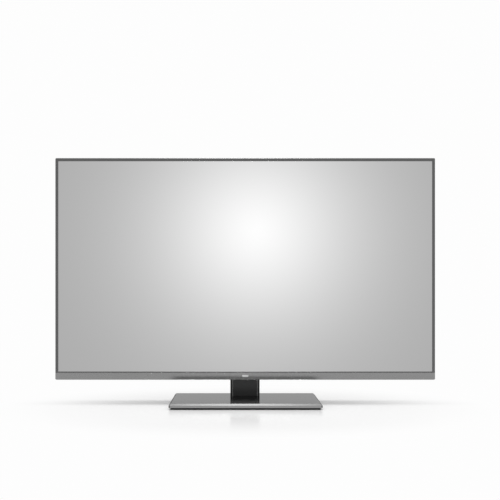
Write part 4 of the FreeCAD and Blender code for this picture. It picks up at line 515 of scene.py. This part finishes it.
FINISHES = {
    "frame_dark": finish(
        "frame_dark",
        grey(0.096),
        0.33,
        grain=FINE,
        depth=0.000006,
        **{"Specular IOR Level": 0.7},
    ),
    "trim_silver": finish(
        "trim_silver",
        grey(0.275),
        0.26,
        metallic=1.0,
        mottle=0.02,
        grain=BRUSHED_X,
        depth=0.000004,
        lean=TRIM_LEAN,
        **{"Specular Tint": grey(0.55)},
    ),
    "window_pale": finish("window_pale", grey(0.80), 0.12, smear=0.03, depth=0.000002),
    "circuit_board": circuit_finish(),
    "screen": screen_finish(),
    "foam": finish("foam", grey(0.03), 0.9, grain=even(0.0005), depth=0.0003),
    "moulding_white": finish("moulding_white", rgb(0.72, 0.72, 0.70), 0.45),
    "film_white": finish("film_white", grey(0.85), 0.4, depth=0.000004),
    "acrylic": finish("acrylic", rgb(0.85, 0.88, 0.9), 0.08, smear=0.03, depth=0.000002),
    "lamp": finish("lamp", rgb(0.85, 0.68, 0.2), 0.3, depth=0.000004),
    "aluminium_plain": finish("aluminium_plain", grey(0.6), 0.4, metallic=1.0, grain=BRUSHED_X),
    "sheet_steel": finish(
        "sheet_steel",
        grey(0.52),
        0.38,
        metallic=1.0,
        mottle=0.12,
        mottle_size=0.008,
    ),
    "film_amber": finish("film_amber", rgb(0.5, 0.25, 0.05), 0.3, depth=0.000004),
    "cable_white": finish("cable_white", grey(0.78), 0.45, grain=WOVEN, depth=0.0002),
    "components": component_finish(),
    "screw_steel": finish("screw_steel", rgb(0.45, 0.45, 0.46), 0.3, metallic=1.0, depth=0.000006),
    "screw_black": finish("screw_black", grey(0.05), 0.38, metallic=0.6, depth=0.000006),
    "socket_metal": finish("socket_metal", grey(0.62), 0.22, metallic=1.0, depth=0.000004),
    "socket_black": finish("socket_black", grey(0.03), 0.45),
    "cover_black": finish(
        "cover_black",
        grey(0.030),
        0.55,
        grain=even(0.0009),
        depth=0.00035,
        smear=0.10,
    ),
    "speaker_black": finish("speaker_black", grey(0.035), 0.6, grain=even(0.001), depth=0.0001),
    "stick_black": finish("stick_black", grey(0.022), 0.5, grain=even(0.0006), depth=0.00012),
    "neck_black": finish(
        "neck_black",
        grey(0.020),
        0.18,
        smear=0.02,
        mottle=0.1,
        depth=0.0000006,
        edge=0.0006,
        # painted shade on its sideways faces
        painted_side_shade=True,
        **{"Specular IOR Level": 0.34},
    ),
    "structural_steel": finish("structural_steel", grey(0.4), 0.42, metallic=1.0, grain=ROLLED),
    "bush_plastic": finish("bush_plastic", rgb(0.8, 0.78, 0.72), 0.4),
    "base_silver": base_finish(),
    # Light grey of the neck's beads: a painted highlight line
    "bead_painted_highlight": finish("bead_painted_highlight", grey(0.45), 0.3),
    "mark_black": finish("mark_black", grey(0.06), 0.35),
    "cloth_black": finish("cloth_black", grey(0.02), 0.85, grain=even(0.0005), depth=0.0003),
    "contact_gold": finish(
        "contact_gold",
        rgb(0.83, 0.61, 0.25),
        0.25,
        metallic=1.0,
        depth=0.000002,
    ),
    "tongue_black": finish("tongue_black", grey(0.02), 0.4),
    "tongue_blue": finish("tongue_blue", rgb(0.01, 0.09, 0.42), 0.35),
    "lamp_green": finish("lamp_green", rgb(0.05, 0.45, 0.10), 0.2, depth=0.000004),
    "lamp_amber": finish("lamp_amber", rgb(0.75, 0.32, 0.03), 0.2, depth=0.000004),
    "tray_black": finish(
        "tray_black",
        grey(0.022),
        0.5,
        depth=0.00005,
        **{"Specular IOR Level": 0.2},
    ),
    "rubber_foot": finish("rubber_foot", grey(0.03), 0.8, grain=even(0.0005), depth=0.00006),
}


def dress_nodes():
    """Gives every node of the frame the finish that its record names."""
    for part in frame["record"]["subparts"]:
        mesh = NODES[part["node"]].data
        mesh.materials.clear()
        mesh.materials.append(FINISHES[part["material_slot"]])


def gather(node, reach):
    """The repeated parts of a node, told apart by place, each as its lowest and highest corner."""
    found = []
    for vertex in NODES[node].data.vertices:
        spot = vertex.co
        for low, high in found:
            if ((low + high) / 2 - spot).length < reach:
                for i in range(3):
                    low[i] = min(low[i], spot[i])
                    high[i] = max(high[i], spot[i])
                break
        else:
            found.append((spot.copy(), spot.copy()))
    return found


def middle(node):
    """The middle of a node's box."""
    low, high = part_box(node)
    return (Vector(low) + Vector(high)) / 2


def make_piece(name, built, slot, material=None, body="display", replaced=()):
    """Turns a mesh under construction into a piece that rides on a body."""
    bmesh.ops.recalc_face_normals(built, faces=built.faces)
    mesh = bpy.data.meshes.new(name)
    built.to_mesh(mesh)
    built.free()
    mesh.materials.append(FINISHES[material or slot])
    made = bpy.data.objects.new(name, mesh)
    bpy.context.scene.collection.objects.link(made)
    mesh.shade_smooth()
    mesh.set_sharp_from_angle(angle=SHARP_ANGLE)
    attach(made, body)
    if replaced:
        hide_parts(*replaced)


def even_angles(count):
    """Angles that share out a full turn."""
    return [math.tau * i / count for i in range(count)]


def cross_angles(long, half):
    """Directions that meet every corner of a cross recess, and a few between."""
    corner = math.atan2(half, long)
    between = (corner + math.pi / 4) / 2
    quarter = [0.0, corner, between, math.pi / 4, math.pi / 2 - between, math.pi / 2 - corner]
    return [turn * math.pi / 2 + a for turn in range(4) for a in quarter]


def cross_reach(angle, long, half):
    """How far the outline of a cross lies from its middle in a direction."""
    off = angle % (math.pi / 2)
    off = min(off, math.pi / 2 - off)
    if math.tan(off) * long <= half + EPSILON:
        return long / math.cos(off)
    return half / math.sin(off)


def turn_rings(built, rings, angles, place):
    """Joins rings about Z into one skin; a ring is its level and its radius in each direction, or 0."""
    rows = []
    for level, radii in rings:
        if radii == 0:
            rows.append([built.verts.new(place @ Vector((0, 0, level)))])
            continue
        if isinstance(radii, float):
            radii = [radii] * len(angles)
        spots = [(r * math.cos(a), r * math.sin(a), level) for r, a in zip(radii, angles)]
        rows.append([built.verts.new(place @ Vector(spot)) for spot in spots])
    for first, second in zip(rows, rows[1:]):
        for i in range(len(angles)):
            j = (i + 1) % len(angles)
            corners = [first[i % len(first)], first[j % len(first)]]
            corners += [second[j % len(second)], second[i % len(second)]]
            built.faces.new(list(dict.fromkeys(corners)))


def add_block(built, low, high, place, lean=0.0):
    """A block with bevelled edges, whose far end along Z may lean along Y."""
    made = bmesh.ops.create_cube(built, size=1.0)["verts"]
    size = Vector(high) - Vector(low)
    centre = (Vector(high) + Vector(low)) / 2
    for vertex in made:
        spot = Vector([a * b for a, b in zip(vertex.co, size)])
        spot.y += lean * (vertex.co.z + 0.5)
        vertex.co = place @ (spot + centre)
    edges = {edge for vertex in made for edge in vertex.link_edges}
    offset = BLOCK_BEVEL * min(size)
    bmesh.ops.bevel(built, geom=list(edges), offset=offset, segments=2, affect="EDGES")


def add_thread(built, place, root, crest, low, high, pitch, steps=THREAD_STEPS):
    """A helical ridge about Z, from its root to its crest."""
    count = int(round((high - low) / pitch * steps))
    roots, crests = [], []
    for i in range(count + 1 + steps):
        turn = math.tau * i / steps
        level = low + pitch * (i / steps - 0.5)
        aim = (math.cos(turn), math.sin(turn))
        roots.append(built.verts.new(place @ Vector((root * aim[0], root * aim[1], level))))
        if i <= count:
            tip = Vector((crest * aim[0], crest * aim[1], level + pitch / 2))
            crests.append(built.verts.new(place @ tip))
    for i in range(count):
        built.faces.new([roots[i], roots[i + 1], crests[i + 1], crests[i]])
        built.faces.new([crests[i], crests[i + 1], roots[i + 1 + steps], roots[i + steps]])


def facing(axis, spot):
    """A place whose Z points along a world axis, given as a letter with a sign."""
    aims = {"+y": (0, 1, 0), "-z": (0, 0, -1)}
    turn = Vector(aims[axis]).to_track_quat("Z", "Y").to_matrix().to_4x4()
    return Matrix.Translation(spot) @ turn


def make_screws(node, axis, slot, body):
    """Pan-head screws with a cross recess in place of a node's plain ones."""
    built = bmesh.new()
    angles = cross_angles(RECESS_LONG, RECESS_HALF)
    cross = [cross_reach(a, RECESS_LONG, RECESS_HALF) for a in angles]
    deep = [r * RECESS_TAPER for r in cross]
    along = "xyz".index(axis[1])
    for low, high in gather(node, SCREW_REACH):
        centre = (low + high) / 2
        radius = (high - low)[(along + 1) % 3] / 2
        top = centre.copy()
        top[along] = (high if axis[0] == "+" else low)[along]
        length = (high - low)[along]
        rings = [
            (-length, 0),
            (-length, SCREW_POINT * SCREW_SHANK),
            (SCREW_TIP - length, SCREW_SHANK),
            (-SCREW_HEAD, SCREW_SHANK),
        ]
        rings += [(-down * SCREW_HEAD, out * radius) for down, out in HEAD_STEPS]
        rings += [(0.0, cross), (-RECESS_DEPTH, deep), (-RECESS_POINT * RECESS_DEPTH, 0)]
        turn_rings(built, rings, angles, facing(axis, top))
    make_piece(node + "_cross", built, slot, body=body, replaced=(node,))


def make_mount_threads():
    """The machine thread inside the four wall mount posts."""
    built = bmesh.new()
    for low, high in gather("vesa_bosses", MOUNT_REACH):
        spot = (low + high) / 2
        spot.y = high.y - MOUNT_THREAD_LENGTH - MOUNT_THREAD_START
        place = facing("+y", spot)
        add_thread(built, place, MOUNT_ROOT, MOUNT_CREST, 0.0, MOUNT_THREAD_LENGTH, MOUNT_PITCH)
    make_piece("wall_mount_threads", built, "screw_steel")


def make_feet():
    """Grooved rubber pads under the base."""
    built = bmesh.new()
    angles = even_angles(FOOT_STEPS)
    for low, high in gather("rubber_feet", FOOT_REACH):
        radius, height = (high.x - low.x) / 2, high.z - low.z
        rings = [(height, 0), (height, radius), (FOOT_EDGE, radius), (0.0, radius - FOOT_EDGE)]
        for outer, inner in FOOT_GROOVES:
            rings += [(0.0, outer * radius), (FOOT_GROOVE, (outer - FOOT_SLANT) * radius)]
            rings += [(FOOT_GROOVE, (inner + FOOT_SLANT) * radius), (0.0, inner * radius)]
        rings.append((0.0, 0))
        spot = (low + high) / 2
        spot.z = 0.0
        turn_rings(built, rings, angles, Matrix.Translation(spot))
    make_piece("grooved_feet", built, "rubber_foot", body="stand_base", replaced=("rubber_feet",))


def socket_places():
    """Every socket's own frame by kind: mouth at Z 0, going in along Z, board at Y 0."""
    side_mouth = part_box("audio_jack")[0][0]
    lower_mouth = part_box("mains_inlet")[0][2]
    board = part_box("audio_jack")[0][1] - SOCKET_STAND
    jack = middle("audio_jack").z
    network = middle("lan_socket").x
    places = {}
    for i, kind in enumerate(SIDE_SOCKETS):
        spot = Vector((side_mouth, board, jack + i * SOCKET_PITCH))
        place = Matrix.Translation(spot) @ Matrix.Rotation(math.pi / 2, 4, "Y")
        places.setdefault(kind, []).append(place)
    for i, kind in enumerate(LOWER_SOCKETS):
        spot = Vector((network + (i - 1) * SOCKET_PITCH, board, lower_mouth))
        places.setdefault(kind, []).append(Matrix.Translation(spot))
    spot = Vector((middle("mains_inlet").x, board, lower_mouth))
    places["inlet"] = [Matrix.Translation(spot)]
    return places


def mm(*values):
    """Lengths in mm as metres."""
    return tuple(value * MM for value in values)


def fill_socket(meshes, kind, place):
    """Adds the inner parts of one socket to the meshes of their colours."""
    for colour, middles, half, across, inward, lean in SOCKET_BLOCKS.get(kind, []):
        for x in middles:
            low = mm(x - half, across[0], inward[0])
            high = mm(x + half, across[1], inward[1])
            add_block(meshes[colour], low, high, place, lean * MM)
    for colour, x, y, steps, profile in SOCKET_TURNS.get(kind, []):
        rings = [mm(level, radius) for level, radius in profile]
        axis = place @ Matrix.Translation(mm(x, y, 0))
        turn_rings(meshes[colour], rings, even_angles(steps), axis)
    if kind == "aerial":
        axis = place @ Matrix.Translation(mm(0, AERIAL_AXIS, 0))
        add_thread(meshes["steel"], axis, *mm(*AERIAL_THREAD), AERIAL_STEPS)


def make_socket_details():
    """Tongues, contacts, lamps, a shutter, rings, threads and pins inside the sockets."""
    meshes = {colour: bmesh.new() for colour in SOCKET_PIECES}
    for kind, places in socket_places().items():
        for place in places:
            fill_socket(meshes, kind, place)
    for colour, (name, slot, look) in SOCKET_PIECES.items():
        make_piece(name, meshes[colour], slot, look)


def make_neck_beads():
    """A fine raised bead along each front edge of the neck, below the set, whose light grey is a
    painted highlight line.
    """
    built = bmesh.new()
    low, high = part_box("neck_shell")
    foot, head = low[2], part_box("bottom_trim")[0][2]
    for x in (low[0] + BEAD_INSET, high[0] - BEAD_INSET):
        near = (x - BEAD_WIDTH / 2, low[1] - BEAD_RISE, foot)
        far = (x + BEAD_WIDTH / 2, low[1] + BEAD_RISE, head)
        add_block(built, near, far, Matrix.Identity(4))
    make_piece("neck_beads", built, "neck_black", "bead_painted_highlight")


def make_joystick_marks():
    """Four raised triangles on the rear cover round the joystick's dish."""
    built = bmesh.new()
    knob = middle("joystick_knob")
    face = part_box("joystick_knob")[1][1] - KNOB_PROUD
    for turn in even_angles(4):
        place = facing("+y", Vector((knob.x, face, knob.z)))
        place = place @ Matrix.Rotation(turn, 4, "Z") @ Matrix.Translation((MARK_OFF, 0, 0))
        half = MARK_HALF * MARK_SIZE
        outline = [(MARK_SIZE, 0.0), (0.0, half), (0.0, -half)]
        rows = []
        for grow, rise in MARK_LAYERS:
            level = rise * MARK_RISE
            third = MARK_SIZE / 3
            spots = [(third + (x - third) * grow, y * grow, level) for x, y in outline]
            rows.append([built.verts.new(place @ Vector(spot)) for spot in spots])
        for first, second in zip(rows, rows[1:]):
            for i in range(3):
                j = (i + 1) % 3
                built.faces.new([first[i], first[j], second[j], second[i]])
        built.faces.new(rows[0])
        built.faces.new(rows[-1])
    make_piece("joystick_marks", built, "cover_black", "mark_black")


def make_speaker_cloth():
    """A dust mesh between the cover's slots and each speaker."""
    built = bmesh.new()
    for low, high in gather("speaker_drivers", SPEAKER_REACH):
        level = low.z - CLOTH_DROP
        inset_x = CLOTH_INSET * (high.x - low.x)
        inset_y = CLOTH_INSET * (high.y - low.y)
        low_corner = (low.x + inset_x, low.y + inset_y, level)
        high_corner = (high.x - inset_x, high.y - inset_y, level + CLOTH_T)
        add_block(built, low_corner, high_corner, Matrix.Identity(4))
    make_piece("speaker_cloth", built, "speaker_black", "cloth_black")


def make_world():
    """A plain dome, seen as white by the camera and in reflections."""
    world = bpy.data.worlds.new("studio")
    world.use_nodes = True
    tree = world.node_tree
    tree.nodes.clear()
    path = add(tree, "LightPath").outputs
    seen = {0: path["Is Camera Ray"], 1: path["Is Glossy Ray"]}
    seen = add(tree, "Math", seen, operation="MAXIMUM").outputs["Value"]
    seen = {0: seen, 1: path["Is Transmission Ray"]}
    seen = add(tree, "Math", seen, operation="MAXIMUM").outputs["Value"]
    level = {"Factor": seen, "A": DOME, "B": WHITE}
    level = add(tree, "Mix", level, data_type="FLOAT").outputs["Result"]
    light = add(tree, "Background", {"Color": grey(1.0), "Strength": level}).outputs["Background"]
    tree.links.new(light, add(tree, "OutputWorld").inputs["Surface"])
    bpy.context.scene.world = world


def make_lamp():
    """A softbox overhead, which lights the upper edges and leaves a soft shadow under the set."""
    lamp = bpy.data.lights.new("softbox", "AREA")
    lamp.shape = "RECTANGLE"
    lamp.size, lamp.size_y = SOFTBOX_SIZE
    lamp.energy = SOFTBOX_RADIANCE * math.pi * SOFTBOX_SIZE[0] * SOFTBOX_SIZE[1]
    holder = bpy.data.objects.new("softbox", lamp)
    holder.location = SOFTBOX_PLACE
    bpy.context.scene.collection.objects.link(holder)


def make_floor():
    """A white floor that keeps shadow and gloss near the set and turns plain white further off."""
    material, tree = new_tree("floor_white")
    path = add(tree, "LightPath").outputs
    where = add(tree, "NewGeometry").outputs["Position"]
    off = add(tree, "VectorMath", {0: where, 1: SHADE_CENTRE}, operation="SUBTRACT").outputs["Vector"]
    ellipse = add(tree, "VectorMath", {0: off, 1: SHADE_REACH}, operation="DIVIDE").outputs["Vector"]
    away = add(tree, "VectorMath", {0: ellipse}, operation="LENGTH").outputs["Value"]
    ends = {"From Min": SHADE_FROM, "From Max": SHADE_TO}
    far = add(tree, "MapRange", {"Value": away, **ends}, interpolation_type="SMOOTHSTEP")
    seen = {0: path["Is Camera Ray"], 1: path["Is Glossy Ray"]}
    seen = add(tree, "Math", seen, operation="MAXIMUM").outputs["Value"]
    share = {0: far.outputs["Result"], 1: seen}
    share = add(tree, "Math", share, operation="MULTIPLY").outputs["Value"]
    matt = add(tree, "BsdfDiffuse", {"Color": grey(FLOOR_ALBEDO)}).outputs["BSDF"]
    gloss = {"Color": grey(1.0), "Roughness": FLOOR_GLOSS_ROUGHNESS}
    gloss = add(tree, "BsdfGlossy", gloss).outputs["BSDF"]
    surface = add(tree, "MixShader", {0: FLOOR_GLOSS, 1: matt, 2: gloss}).outputs["Shader"]
    white = add(tree, "Emission", {"Color": grey(WHITE)}).outputs["Emission"]
    show(tree, add(tree, "MixShader", {0: share, 1: surface, 2: white}).outputs["Shader"])
    mesh = bpy.data.meshes.new("floor")
    half = FLOOR_HALF
    corners = [(-half, -half, 0), (half, -half, 0), (half, half, 0), (-half, half, 0)]
    mesh.from_pydata(corners, [], [(0, 1, 2, 3)])
    mesh.materials.append(material)
    floor = bpy.data.objects.new("floor", mesh)
    bpy.context.scene.collection.objects.link(floor)


def make_camera():
    """A level camera that looks along +Y; its shift puts the view axis on the photograph's pixel."""
    data = bpy.data.cameras.new("camera")
    data.sensor_width = SENSOR_MM
    data.lens = SENSOR_MM * FOCAL_PIXELS / PHOTO_SIZE
    data.shift_x = 0.5 - VIEW_AXIS_PIXEL[0] / PHOTO_SIZE
    data.shift_y = VIEW_AXIS_PIXEL[1] / PHOTO_SIZE - 0.5
    camera = bpy.data.objects.new("camera", data)
    camera.location = CAMERA_PLACE
    camera.rotation_euler = (math.pi / 2, 0.0, 0.0)
    bpy.context.scene.collection.objects.link(camera)
    bpy.context.scene.camera = camera


dress_nodes()
make_screws("cover_screws", "+y", "screw_black", "display")
make_screws("base_screws", "-z", "screw_steel", "stand_base")
make_mount_threads()
make_feet()
make_socket_details()
make_joystick_marks()
make_speaker_cloth()
make_neck_beads()
make_world()
make_lamp()
make_floor()
make_camera()
bpy.context.scene.view_settings.view_transform = "Standard"
